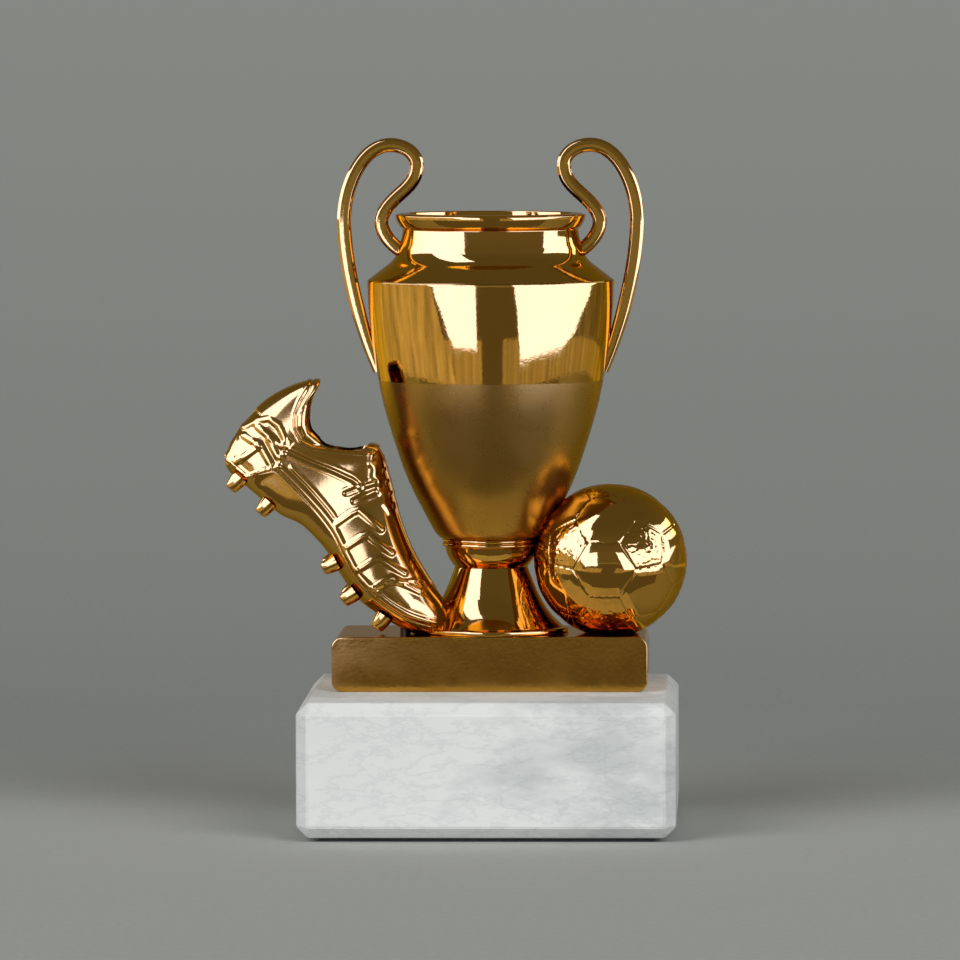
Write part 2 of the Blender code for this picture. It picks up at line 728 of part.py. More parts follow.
def below_sole_line(name, shift):
    """Everything under the sole line, raised by shift, as a cutter."""
    edge = [(x, z + shift) for x, z in along_boot(SOLE_LINE, -5 * MM, 53 * MM)]
    deep = -12 * MM
    outline = edge + [(53 * MM, deep), (-5 * MM, deep)]
    return prism(name, list(reversed(outline)), -15 * MM, 15 * MM)


def tongue_region(name, grow):
    """The strip along the instep where the tongue lies, grown by a clearance."""
    x0, x1 = TONGUE_X[0] - grow - 2 * MM, TONGUE_X[1] + grow
    top = [(x, z + 4 * MM) for x, z in along_boot(BOOT_TOP, x0, x1)]
    under = [(x, z - TONGUE_T - grow) for x, z in along_boot(BOOT_TOP, x0, x1)]
    half = TONGUE_HALF_W + grow
    return prism(name, top + list(reversed(under)), -half, half)


def stud(index, side):
    x = STUD_X[index]
    slope = (BOOT_BOTTOM(x + MM) - BOOT_BOTTOM(x - MM)) / (2 * MM)
    down = Vector((slope, 0, -1)).normalized()
    root = Vector((x, side * (BOOT_HALF_WIDTH(x) - STUD_INSET), BOOT_BOTTOM(x)))
    start = root - down * STUD_ROOT_DEPTH
    return cone(f"stud_{index}_{side + 1}", STUD_ROOT_R, STUD_TIP_R, start, root + down * STUD_H, 12)


def boot(trimmer):
    """Two halves of the upper, the outsole with its studs, and the tongue."""
    frame = bpy.data.objects.new("boot_axes", None)
    PARTS.objects.link(frame)
    frame.matrix_world = (
        Matrix.Translation(BOOT_AT)
        @ Matrix.Rotation(BOOT_YAW, 4, "Z")
        @ Matrix.Rotation(BOOT_PITCH, 4, "Y")
    )
    body = boot_body()
    hollow = boot_hollow()
    sole = below_sole_line("sole_region", 0)
    sole_and_gap = below_sole_line("sole_and_gap_cutter", GAP)
    tongue = tongue_region("tongue_region", 0)
    tongue_and_gap = tongue_region("tongue_and_gap_cutter", GAP)
    far = 60 * MM
    sides = {
        "boot_left_half": block("boot_left_side", (-far, GAP / 2, -far), (far, far, far)),
        "boot_right_half": block("boot_right_side", (-far, -far, -far), (far, -GAP / 2, far)),
    }
    rest = block("boot_rest_cutter", (-far, -far, 0), (far, far, PLINTH_Z1 + GAP))
    hole = post(
        "boot_screw_hole",
        SCREW_R + GAP,
        BOOT_SCREW_AT.x,
        BOOT_SCREW_AT.y,
        PLINTH_Z1 - MM,
        PLINTH_Z1 - PLINTH_TOP_T + SCREW_L + 0.3 * MM,
        16,
    )
    tools = [body, hollow, sole, sole_and_gap, tongue, tongue_and_gap, *sides.values()]
    made = []

    def piece(name):
        new = add(name, body.data.copy(), GOLD)
        new.parent = frame
        made.append(new)
        return new

    for name, side in sides.items():
        upper = piece(name)
        boolean(upper, side, "INTERSECT")
        cut(upper, sole_and_gap, hollow, tongue_and_gap)
    outsole = piece("boot_outsole")
    boolean(outsole, sole, "INTERSECT")
    for index in range(len(STUD_X)):
        for side in (-1, 1):
            tools.append(stud(index, side))
            join(outsole, tools[-1])
    strip = piece("boot_tongue")
    boolean(strip, tongue, "INTERSECT")
    for tool in tools:
        tool.parent = frame
    for new in made:
        cut(new, rest, trimmer)
    for new in (made[1], made[2]):
        cut(new, hole)


def main():
    felt_pad()
    marble_base()
    rod_stack()
    trimmer = cup_clearance()
    ball_screw_at = ball(trimmer)
    screws = {"ball_screw": ball_screw_at, "boot_screw": tuple(BOOT_SCREW_AT.xy)}
    for name, (x, y) in screws.items():
        small_screw(name, x, y)
    plinth(screws.values())
    cup_foot()
    cup_collar()
    peg_sockets(cup_neck(), cup_bowl())
    handle("handle_left", -1, trimmer)
    handle("handle_right", 1, trimmer)
    boot(trimmer)


main()
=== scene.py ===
"""The looks of the figure trophy: fine surfaces over the CAD frame, its finishes, a studio and a camera.

Metres, +Z up, the front faces -Y. The origin is under the cup, where its axis meets the ground.
"""

import math

import bmesh
import bpy
import numpy as np
from mathutils import Matrix, Vector, noise
from mathutils.geometry import interpolate_bezier


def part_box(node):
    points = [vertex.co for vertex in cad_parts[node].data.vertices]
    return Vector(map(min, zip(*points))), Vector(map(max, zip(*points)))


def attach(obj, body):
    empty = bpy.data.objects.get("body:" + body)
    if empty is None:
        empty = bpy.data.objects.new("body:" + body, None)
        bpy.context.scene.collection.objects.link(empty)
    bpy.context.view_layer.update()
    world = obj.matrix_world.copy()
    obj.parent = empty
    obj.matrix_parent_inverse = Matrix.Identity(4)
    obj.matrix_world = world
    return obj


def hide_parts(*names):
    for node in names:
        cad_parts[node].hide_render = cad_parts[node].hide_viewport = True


MM = 0.001

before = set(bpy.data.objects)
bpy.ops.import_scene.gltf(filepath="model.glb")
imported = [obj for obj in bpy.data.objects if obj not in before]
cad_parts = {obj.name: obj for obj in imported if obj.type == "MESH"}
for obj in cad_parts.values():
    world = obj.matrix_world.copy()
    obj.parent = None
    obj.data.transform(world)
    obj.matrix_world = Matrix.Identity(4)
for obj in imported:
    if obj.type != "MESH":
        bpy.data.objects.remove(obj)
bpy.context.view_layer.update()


# ---------------------------------------------------------------- node helpers


class Nodes:
    """A small builder for one material's or world's node tree."""

    def __init__(self, tree):
        self.tree = tree

    def new(self, kind, settings=None, **inputs):
        node = self.tree.nodes.new(kind)
        for key, value in (settings or {}).items():
            setattr(node, key, value)
        for key, value in inputs.items():
            self.set(node, key.replace("_", " "), value)
        return node

    def set(self, node, name, value):
        socket = node.inputs[name]
        if isinstance(value, bpy.types.NodeSocket):
            self.tree.links.new(value, socket)
        else:
            socket.default_value = value

    def math(self, operation, a, b=0.0, clamp=False):
        node = self.tree.nodes.new("ShaderNodeMath")
        node.operation = operation
        node.use_clamp = clamp
        for socket, value in zip(node.inputs, (a, b)):
            if isinstance(value, bpy.types.NodeSocket):
                self.tree.links.new(value, socket)
            else:
                socket.default_value = value
        return node.outputs[0]

    def noise(self, vector, scale, detail=2.0, roughness=0.5):
        node = self.new("ShaderNodeTexNoise", Scale=scale, Detail=detail, Roughness=roughness)
        self.tree.links.new(vector, node.inputs["Vector"])
        return node.outputs["Fac"]

    def ramp(self, value, stops):
        """stops are (place, colour) pairs."""
        node = self.tree.nodes.new("ShaderNodeValToRGB")
        self.tree.links.new(value, node.inputs["Fac"])
        ramp = node.color_ramp
        while len(ramp.elements) < len(stops):
            ramp.elements.new(0.5)
        for element, (place, colour) in zip(ramp.elements, stops):
            element.position = place
            element.color = (*colour, 1.0) if len(colour) == 3 else colour
        return node.outputs["Color"]

    def bump(self, height, distance, strength=1.0, normal=None):
        node = self.new("ShaderNodeBump", Distance=distance, Strength=strength)
        self.tree.links.new(height, node.inputs["Height"])
        if normal is not None:
            self.tree.links.new(normal, node.inputs["Normal"])
        return node.outputs["Normal"]


def principled(name, **constants):
    """A new material, its node builder, its Principled shader and its object coordinates."""
    made = bpy.data.materials.new(name)
    made.use_nodes = True
    nodes = Nodes(made.node_tree)
    shader = made.node_tree.nodes["Principled BSDF"]
    for key, value in constants.items():
        nodes.set(shader, key.replace("_", " "), value)
    place = nodes.new("ShaderNodeTexCoord").outputs["Object"]
    return made, nodes, shader, place


# ---------------------------------------------------------------- finishes

GOLD_TINT = (0.70, 0.375, 0.062)
GOLD_DEEP = (0.65, 0.335, 0.050)
GOLD_EDGE = (1.0, 0.74, 0.34, 1.0)


SATIN_BELOW = 83.7 * MM
SATIN_ROUGHNESS = 0.22
# Multiplies the colour of the lower bowl's frost zone: painted shade, darker and yellower.
SATIN_PAINTED_SHADE = (0.74, 0.74, 0.62)


def gold(name, wave_height=0.0, peel_height=0.006 * MM, roughness=0.055, satin=False):
    """Vacuum-metallised plastic: a mirror with orange peel, and a slow waviness where it's asked for.

    With satin, everything under SATIN_BELOW gets a fine frost, and its colour is multiplied darker and yellower as
    painted shade.
    """
    made, nodes, shader, place = principled(name, Metallic=1.0, IOR=1.45)
    nodes.set(shader, "Specular Tint", GOLD_EDGE)
    tone = nodes.noise(place, 45.0, 3.0)
    colour = nodes.ramp(tone, [(0.3, GOLD_DEEP), (0.7, GOLD_TINT)])
    smudge = nodes.noise(place, 160.0, 4.0, 0.6)
    low, high = roughness * 0.7, roughness * 1.6
    spread = nodes.ramp(smudge, [(0.35, (low, low, low)), (0.75, (high, high, high))])
    peel = nodes.noise(place, 1400.0, 2.0)
    normal = nodes.bump(peel, peel_height)
    if satin:
        split = nodes.new("ShaderNodeSeparateXYZ")
        nodes.tree.links.new(place, split.inputs[0])
        depth = nodes.math("DIVIDE", nodes.math("SUBTRACT", SATIN_BELOW, split.outputs["Z"]), 0.25 * MM)
        frost_and_shade = nodes.math("MINIMUM", nodes.math("MAXIMUM", depth, 0.0), 1.0)
        spread = nodes.math("ADD", spread, nodes.math("MULTIPLY", frost_and_shade, SATIN_ROUGHNESS))
        # Painted shade: under SATIN_BELOW the gold's colour is multiplied darker and yellower.
        satin_painted_shade = nodes.new("ShaderNodeMix", {"data_type": "RGBA", "blend_type": "MULTIPLY"})
        nodes.tree.links.new(frost_and_shade, satin_painted_shade.inputs["Factor"])
        nodes.tree.links.new(colour, satin_painted_shade.inputs["A"])
        satin_painted_shade.inputs["B"].default_value = (*SATIN_PAINTED_SHADE, 1.0)
        colour = satin_painted_shade.outputs["Result"]
    nodes.set(shader, "Base Color", colour)
    nodes.set(shader, "Roughness", spread)
    if wave_height:
        normal = nodes.bump(nodes.noise(place, 110.0, 1.5), wave_height, normal=normal)
    nodes.set(shader, "Normal", normal)
    return made


def marble():
    """White marble: cloudy grey veins on a slant, small crystal specks and a honed surface."""
    made, nodes, shader, place = principled("marble", IOR=1.5, Subsurface_Weight=0.08, Subsurface_Scale=0.004)
    nodes.set(shader, "Specular IOR Level", 0.0)
    nodes.set(shader, "Subsurface Radius", (1.0, 1.0, 1.0))
    turn = nodes.new("ShaderNodeMapping")
    nodes.tree.links.new(place, turn.inputs["Vector"])
    turn.inputs["Rotation"].default_value = (0.3, math.radians(-38), 0.4)
    turn.inputs["Scale"].default_value = (1.0, 1.0, 2.6)
    slanted = turn.outputs["Vector"]
    cloud = nodes.noise(slanted, 26.0, 6.0, 0.62)
    veil = nodes.ramp(cloud, [(0.36, (0.80, 0.82, 0.815)), (0.50, (0.83, 0.845, 0.84)), (0.62, (0.64, 0.665, 0.67))])
    fine = nodes.noise(slanted, 75.0, 8.0, 0.7)
    ridge = nodes.math("ABSOLUTE", nodes.math("SUBTRACT", fine, 0.5))
    vein = nodes.ramp(ridge, [(0.0, (0.80, 0.81, 0.82)), (0.035, (1, 1, 1))])
    both = nodes.new("ShaderNodeMix", {"data_type": "RGBA", "blend_type": "MULTIPLY"})
    both.inputs["Factor"].default_value = 0.55
    nodes.tree.links.new(veil, both.inputs["A"])
    nodes.tree.links.new(vein, both.inputs["B"])
    nodes.set(shader, "Base Color", both.outputs["Result"])
    crystals = nodes.new("ShaderNodeTexVoronoi", Scale=900.0)
    nodes.tree.links.new(place, crystals.inputs["Vector"])
    grain = crystals.outputs["Distance"]
    nodes.set(shader, "Roughness", nodes.ramp(grain, [(0.0, (0.22, 0.22, 0.22)), (0.6, (0.34, 0.34, 0.34))]))
    nodes.set(shader, "Normal", nodes.bump(nodes.noise(place, 650.0, 5.0), 0.02 * MM))
    return made


def steel(name, dark, light):
    """Plated steel with a fine brushed grain, between two tones."""
    made, nodes, shader, place = principled(name, Metallic=1.0)
    tone = nodes.noise(place, 500.0, 4.0)
    nodes.set(shader, "Base Color", nodes.ramp(tone, [(0.3, dark), (0.7, light)]))
    nodes.set(shader, "Roughness", nodes.ramp(tone, [(0.3, (0.22, 0.22, 0.22)), (0.8, (0.42, 0.42, 0.42))]))
    nodes.set(shader, "Normal", nodes.bump(nodes.noise(place, 3000.0, 3.0), 0.01 * MM))
    return made


def felt():
    """Pressed dark felt: matted fibres and a soft sheen."""
    made, nodes, shader, place = principled("felt", Sheen_Weight=0.6, Sheen_Roughness=0.5)
    fibres = nodes.noise(place, 2600.0, 8.0, 0.75)
    nodes.set(shader, "Base Color", nodes.ramp(fibres, [(0.3, (0.035, 0.04, 0.038)), (0.7, (0.11, 0.115, 0.11))]))
    nodes.set(shader, "Roughness", nodes.ramp(fibres, [(0.2, (0.85, 0.85, 0.85)), (0.8, (1, 1, 1))]))
    nodes.set(shader, "Normal", nodes.bump(fibres, 0.15 * MM))
    return made


GOLD = gold("gold_metallised")
GOLD_WAVY = gold("gold_metallised_wavy", wave_height=0.014 * MM, roughness=0.10)
GOLD_BOWL = gold("gold_metallised_bowl", satin=True)
GOLD_BOOT = gold("gold_metallised_boot", roughness=0.12)
MARBLE = marble()
STEEL = steel("zinc_plate", (0.50, 0.52, 0.55), (0.68, 0.69, 0.70))
# Painted shade: the screws get a near-black steel so that their shanks, under the boot and the ball, stay as dark as
# the shadow there.
SCREW_PAINTED_SHADE = steel("screw_painted_shade", (0.030, 0.022, 0.008), (0.045, 0.034, 0.012))
FELT = felt()


# ---------------------------------------------------------------- mesh helpers


def piece(name, mesh, material, *nodes, crease=38):
    """A piece of the trophy, in place, that stands for the CAD nodes named."""
    made = bpy.data.objects.new(name, mesh)
    bpy.context.scene.collection.objects.link(made)
    mesh.materials.clear()
    mesh.materials.append(material)
    mesh.shade_smooth()
    mesh.set_sharp_from_angle(angle=math.radians(crease))
    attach(made, "root")
    if nodes:
        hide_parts(*nodes)
    return made


def keep_faces_flat(obj):
    """Lets the big flat faces set the shading normals, so that eased edges don't bend them."""
    step = obj.modifiers.new("flat_faces", "WEIGHTED_NORMAL")
    step.keep_sharp = True
    step.weight = 100


def to_mesh(bm, name):
    bmesh.ops.recalc_face_normals(bm, faces=bm.faces)
    mesh = bpy.data.meshes.new(name)
    bm.to_mesh(mesh)
    bm.free()
    return mesh


def skin(bm, rings, closed_rings=True, closed_along=False):
    """Quads between neighbouring rings of equal length. Returns the rows of vertices."""
    rows = [[bm.verts.new(p) for p in ring] for ring in rings]
    pairs = list(zip(rows, rows[1:]))
    if closed_along:
        pairs.append((rows[-1], rows[0]))
    count = len(rows[0])
    for near, far in pairs:
        for k in range(count if closed_rings else count - 1):
            following = (k + 1) % count
            bm.faces.new((near[k], near[following], far[following], far[k]))
    return rows


def softened(profile, radius, facets=4, closed=True):
    """A profile with its corners rounded off by about the radius given."""
    points = [Vector(p) for p in profile]
    made = []
    for i, corner in enumerate(points):
        if not closed and i in (0, len(points) - 1):
            made.append(corner)
            continue
        before, after = points[i - 1], points[(i + 1) % len(points)]
        to_before, to_after = before - corner, after - corner
        turn = math.pi - to_before.angle(to_after)
        if turn < math.radians(20):
            made.append(corner)
            continue
        reach = min(radius, to_before.length * 0.45, to_after.length * 0.45)
        start = corner + to_before.normalized() * reach
        end = corner + to_after.normalized() * reach
        for k in range(facets + 1):
            t = k / facets
            made.append(start * (1 - t) ** 2 + corner * 2 * t * (1 - t) + end * t**2)
    return [tuple(p) for p in made]


def turned(name, profile, material, *nodes, steps=192, centre=(0, 0)):
    """A ring-shaped solid: a closed (radius, height) profile turned about an upright axis."""
    bm = bmesh.new()
    rings = []
    for k in range(steps):
        angle = 2 * math.pi * k / steps
        c, s = math.cos(angle), math.sin(angle)
        rings.append([(centre[0] + r * c, centre[1] + r * s, z) for r, z in profile])
    skin(bm, rings, closed_along=True)
    return piece(name, to_mesh(bm, name), material, *nodes)


def spaced(start, end, count):
    return [start + (end - start) * i / (count - 1) for i in range(count)]


def smooth_curve(points):
    """A monotone cubic through (x, y) points, as a function of x."""
    xs = [p[0] for p in points]
    ys = [p[1] for p in points]
    slopes = [(ys[i + 1] - ys[i]) / (xs[i + 1] - xs[i]) for i in range(len(xs) - 1)]
    tangents = [slopes[0]]
    for before, after in zip(slopes, slopes[1:]):
        turning = before * after <= 0
        tangents.append(0.0 if turning else 2 * before * after / (before + after))
    tangents.append(slopes[-1])

    def value(x):
        x = min(max(x, xs[0]), xs[-1])
        i = max(k for k in range(len(xs) - 1) if xs[k] <= x)
        width = xs[i + 1] - xs[i]
        t = (x - xs[i]) / width
        rise = ys[i + 1] - ys[i]
        a = tangents[i] * width - rise
        b = rise - tangents[i + 1] * width
        return ys[i] + t * rise + t * (1 - t) * (a * (1 - t) + b * t)

    return value


def smoothstep(low, high, value):
    t = np.clip((value - low) / (high - low), 0.0, 1.0)
    return t * t * (3 - 2 * t)


# ---------------------------------------------------------------- the cup

foot_low, foot_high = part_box("cup_foot")
collar_low, collar_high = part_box("cup_collar")
bowl_low, bowl_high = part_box("cup_bowl")
neck_low, neck_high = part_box("cup_neck")
plinth_low, plinth_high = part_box("plinth_shell")
base_low, base_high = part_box("marble_base")

TOUCH = 0.02 * MM  # how close neighbouring pieces stand
BORE_R = 2.8 * MM
CUP_WALL = 1.5 * MM
SHOULDER_R = bowl_high.x
SHOULDER_Z = bowl_high.z
COLLAR_Z1 = collar_high.z
BOWL_BOTTOM_R = 9.5 * MM
STEM_R = 6.8 * MM
STEM_Z = foot_high.z
FOOT_RING_R = foot_high.x
FOOT_RING_H = 0.9 * MM


def in_mm(points):
    return [(x * MM, z * MM) for x, z in points]


# The bowl's outside as (height, radius): a rounded bottom, a nearly straight side, an upright shoulder.
bowl_radius = smooth_curve(in_mm([
    (53.8, 9.5), (54.3, 10.1), (55.2, 10.75), (57.1, 11.8), (59.0, 12.8), (60.8, 13.75), (62.7, 14.7),
    (65.0, 15.7), (67.4, 16.65), (70.2, 17.6), (74.0, 18.8), (79.6, 20.35), (86.0, 21.6), (93.0, 22.6),
    (99.2, 23.1), (102.2, 23.2),
]))


def foot_radius(z):
    drop = (STEM_Z - z) / (STEM_Z - plinth_high.z - FOOT_RING_H)
    return STEM_R + 4.4 * MM * drop + 2.6 * MM * drop**4


def cup_foot():
    ring_z = plinth_high.z + FOOT_RING_H
    base_z = plinth_high.z + TOUCH
    web_z = 44.5 * MM
    wall = 1.7 * MM
    flare = [(foot_radius(z), z) for z in spaced(STEM_Z, ring_z + 0.1 * MM, 40)]
    ring = [(FOOT_RING_R, ring_z), (FOOT_RING_R, base_z)]
    inner = [(FOOT_RING_R - wall, base_z)]
    inner += [(foot_radius(z) - wall, z) for z in spaced(base_z + MM, web_z, 8)]
    bore = [(BORE_R, web_z), (BORE_R, STEM_Z)]
    profile = softened(flare + ring + inner + bore, 0.25 * MM)
    turned("cup_foot_skin", profile, GOLD, "cup_foot")


def cup_collar():
    """Two round beads with a fine groove between them, over a cone that meets the stem."""
    bead = 0.8 * MM
    profile = [(COLLAR_R_GROOVE, COLLAR_Z1)]
    for first in (0, 1):
        top = COLLAR_Z1 - first * bead
        for k in range(9):
            angle = math.pi * (k + 0.5) / 9
            out = COLLAR_R_GROOVE + (collar_high.x - COLLAR_R_GROOVE) * math.sin(angle)
            profile.append((out, top - bead * (1 - math.cos(angle)) / 2))
    cone_top = COLLAR_Z1 - 2 * bead - 0.1 * MM
    cone_end = (STEM_R + 0.1 * MM, STEM_Z + TOUCH)
    cone = [(collar_high.x - 0.55 * MM, cone_top)]
    for t in spaced(0.15, 1.0, 10):
        bow = 0.35 * MM * math.sin(math.pi * t)
        r = (collar_high.x - 0.55 * MM) * (1 - t) + cone_end[0] * t + bow
        cone.append((r, cone_top * (1 - t) + cone_end[1] * t))
    bore = [(BORE_R, STEM_Z + TOUCH), (BORE_R, COLLAR_Z1)]
    turned("cup_collar_skin", profile + cone + bore, GOLD, "cup_collar")


COLLAR_R_GROOVE = collar_high.x - 0.35 * MM
BOWL_FLOOR_Z = 57.5 * MM


def cup_bowl():
    base_z = COLLAR_Z1 + TOUCH
    outer = [(bowl_radius(z), z) for z in spaced(SHOULDER_Z, 57 * MM, 80)]
    outer += [(bowl_radius(z), z) for z in spaced(56.8 * MM, base_z, 24)]
    floor = [(BORE_R, base_z), (BORE_R, BOWL_FLOOR_Z), (BOWL_BOTTOM_R - CUP_WALL, BOWL_FLOOR_Z)]
    inner = [(bowl_radius(z) - CUP_WALL, z) for z in spaced(BOWL_FLOOR_Z + 3 * MM, SHOULDER_Z, 40)]
    turned("cup_bowl_skin", softened(outer + floor + inner, 0.12 * MM), GOLD_BOWL, "cup_bowl", steps=256)


def cup_neck():
    """The shoulder cone, the flaring neck and the slanting lip, with a spigot inside the bowl."""
    rim_r = 17.9 * MM
    top = neck_high.z
    seat_z = SHOULDER_Z + TOUCH
    spigot_r = SHOULDER_R - CUP_WALL - 0.3 * MM
    neck_r = 16.5 * MM
    neck_z = 111.9 * MM
    cone_top = (17.6 * MM, 106.5 * MM)
    fillet = [Vector(p) for p in ((17.2 * MM, 108.5 * MM), cone_top, (19.2 * MM, 105.3 * MM))]
    flare = []
    for t in spaced(0.0, 1.0, 10):
        bow = 0.12 * MM * math.sin(math.pi * t)
        r = neck_r * (1 - t) + fillet[0].x * t - bow
        flare.append((r, neck_z * (1 - t) + fillet[0].y * t))
    for t in spaced(0.0, 1.0, 16)[1:]:
        flare.append(tuple(fillet[0] * (1 - t) ** 2 + fillet[1] * 2 * t * (1 - t) + fillet[2] * t**2))
    wall = CUP_WALL
    profile = [(rim_r - 1.0 * MM, top), (rim_r, top - 0.3 * MM), (rim_r - 0.2 * MM, top - 1.3 * MM)]
    profile += [(rim_r - 0.9 * MM, neck_z + 0.35 * MM)] + flare
    profile += [(SHOULDER_R, seat_z), (spigot_r, seat_z), (spigot_r, neck_low.z)]
    profile += [(spigot_r - wall, neck_low.z), (spigot_r - wall, seat_z + 0.2 * MM)]
    profile += [(cone_top[0] - wall, cone_top[1] - 0.8 * MM), (neck_r - wall, neck_z - 3.4 * MM)]
    profile += [(neck_r - wall, neck_z), (rim_r - 1.0 * MM - wall, top)]
    turned("cup_neck_skin", softened(profile, 0.18 * MM), GOLD, "cup_neck", steps=256)


# ---------------------------------------------------------------- handles

# Each node of the left handle's line, then its two Bezier handles, in mm in the XZ plane.
HANDLE_LINE = [
    ((-16.4, 107.6), (-15.6, 107.2), (-18.4, 108.6)),
    ((-20.5, 113.2), (-20.5, 110.9), (-20.5, 115.2)),
    ((-16.9, 118.5), (-18.4, 117.2), (-15.2, 120.0)),
    ((-13.8, 123.7), (-13.8, 121.4), (-13.8, 126.1)),
    ((-18.8, 127.6), (-16.2, 127.6), (-24.2, 127.6)),
    ((-27.5, 113.6), (-27.5, 119.6), (-27.5, 105.0)),
    ((-21.1, 85.2), (-24.4, 93.0), (-20.5, 83.5)),
]
HANDLE_HALF = 1.32 * MM
HANDLE_BEVEL = 0.5 * MM


def handle_section():
    """An octagon with flat faces to the front and the sides and bevelled corners, slightly rounded."""
    h, b = HANDLE_HALF, HANDLE_BEVEL
    corners = [(h, h - b), (h - b, h), (b - h, h), (-h, h - b), (-h, b - h), (b - h, -h), (h - b, -h), (h, b - h)]
    return softened([(x, z) for x, z in corners], 0.16 * MM, facets=3)


def handle(name, side, node):
    points = []
    for (at, _, after), (following, before, _) in zip(HANDLE_LINE, HANDLE_LINE[1:]):
        knots = [Vector((-side * x * MM, 0, z * MM)) for x, z in (at, after, before, following)]
        stretch = interpolate_bezier(knots[0], knots[1], knots[2], knots[3], 28)
        points += stretch if not points else stretch[1:]
    section = handle_section()
    rings = []
    last = len(points) - 1
    for i, at in enumerate(points):
        along = (points[min(i + 1, last)] - points[max(i - 1, 0)]).normalized()
        across = Vector((along.z, 0, -along.x))
        taper = 1.0 - 0.25 * max(0.0, (i - last * 0.93) / (last * 0.07))
        rings.append([at + across * (u * taper) + Vector((0, v, 0)) for u, v in section])
    bm = bmesh.new()
    rows = skin(bm, rings)
    bm.faces.new(rows[0])
    bm.faces.new(rows[-1])
    piece(name, to_mesh(bm, name), GOLD, node)


# ---------------------------------------------------------------- plinth, block and pad


def rounded_rectangle(x0, x1, z0, z1, radius, facets):
    corners = [(x1, z1, 0), (x0, z1, 90), (x0, z0, 180), (x1, z0, 270)]
    points = []
    for x, z, first in corners:
        centre_x = x - math.copysign(radius, x - (x0 + x1) / 2)
        centre_z = z - math.copysign(radius, z - (z0 + z1) / 2)
        for k in range(facets + 1):
            angle = math.radians(first + 90 * k / facets)
            points.append((centre_x + radius * math.cos(angle), centre_z + radius * math.sin(angle)))
    return points


PLINTH_DRAFT = 0.22 * MM  # how much shallower the plinth is at its top, front and back


def plinth():
    """A moulding with rounded ends and a crisp but not sharp edge round its front and back faces."""
    edge = 0.22 * MM
    corner = 2.1 * MM
    depths = [(plinth_low.y, edge), (plinth_low.y + edge * 0.3, edge * 0.3), (plinth_low.y + edge, 0.0)]
    depths += [(-y, inset) for y, inset in reversed(depths)]
    rings = []
    base_z = base_high.z + TOUCH
    for y, inset in depths:
        outline = rounded_rectangle(
            plinth_low.x + inset,
            plinth_high.x - inset,
            base_z + inset,
            plinth_high.z - inset,
            corner - inset,
            10,
        )
        draft = PLINTH_DRAFT * math.copysign(1.0, y)
        rings.append([(x, y - draft * (z - base_z) / (plinth_high.z - base_z), z) for x, z in outline])
    bm = bmesh.new()
    rows = skin(bm, rings)
    bm.faces.new(rows[0])
    bm.faces.new(rows[-1])
    mesh = to_mesh(bm, "plinth")
    keep_faces_flat(piece("plinth_skin", mesh, GOLD_WAVY, "plinth_shell"))


def marble_block():
    """The block, with broad chamfers whose own edges are eased, and the rod's hole and counterbore."""
    bm = bmesh.new()
    bmesh.ops.create_cube(bm, size=1.0)
    bmesh.ops.scale(bm, vec=base_high - base_low, verts=bm.verts)
    bmesh.ops.translate(bm, vec=(base_high + base_low) / 2, verts=bm.verts)
    bmesh.ops.bevel(bm, geom=bm.edges, offset=2.1 * MM, segments=1, affect="EDGES", clamp_overlap=True)
    bmesh.ops.bevel(bm, geom=bm.edges, offset=0.22 * MM, segments=3, affect="EDGES", clamp_overlap=True)
    block = piece("marble_block", to_mesh(bm, "marble_block"), MARBLE, "marble_base")
    for radius, depth in ((BORE_R, 40 * MM), (10 * MM, 8 * MM)):
        drill = cutter_post(radius, base_low.z - MM, base_low.z + depth)
        apply_boolean(block, drill, "DIFFERENCE")
    keep_faces_flat(block)


def cutter_post(radius, z0, z1):
    bm = bmesh.new()
    bmesh.ops.create_cone(bm, cap_ends=True, segments=64, radius1=radius, radius2=radius, depth=z1 - z0)
    bmesh.ops.translate(bm, vec=(0, 0, (z0 + z1) / 2), verts=bm.verts)
    made = bpy.data.objects.new("cutter", to_mesh(bm, "cutter"))
    bpy.context.scene.collection.objects.link(made)
    return made


def apply_boolean(target, tool, operation, keep_tool=False):
    """Cuts or joins for good, so that no modifier is left on the piece."""
    step = target.modifiers.new("cut", "BOOLEAN")
    step.operation = operation
    step.solver = "EXACT"
    step.object = tool
    graph = bpy.context.evaluated_depsgraph_get()
    made = bpy.data.meshes.new_from_object(target.evaluated_get(graph))
    target.modifiers.remove(step)
    old = target.data
    target.data = made
    bpy.data.meshes.remove(old)
    made.shade_smooth()
    made.set_sharp_from_angle(angle=math.radians(38))
    if not keep_tool:
        bpy.data.objects.remove(tool)


# ---------------------------------------------------------------- fasteners


def threaded_rod():
    """The tie rod with a 0.8 mm pitch thread."""
    low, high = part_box("tie_rod")
    outer, depth, pitch = high.x, 0.4 * MM, 0.8 * MM
    steps, per_turn = 40, 8
    rows = int((high.z - low.z) / pitch * per_turn)
    rings = []
    for j in range(rows + 1):
        z = low.z + (high.z - low.z) * j / rows
        end = min(j, rows - j) / per_turn
        ring = []
        for k in range(steps):
            turn = k / steps
            phase = (z / pitch - turn) % 1.0
            cut = depth * min(1.0, abs(2 * phase - 1) * 1.15)
            r = outer - cut - depth * max(0.0, 1.0 - end)
            angle = 2 * math.pi * turn
            ring.append((r * math.cos(angle), r * math.sin(angle), z))
        rings.append(ring)
    bm = bmesh.new()
    ends = skin(bm, rings)
    bm.faces.new(ends[0])
    bm.faces.new(ends[-1])
    piece("threaded_rod", to_mesh(bm, "threaded_rod"), STEEL, "tie_rod")


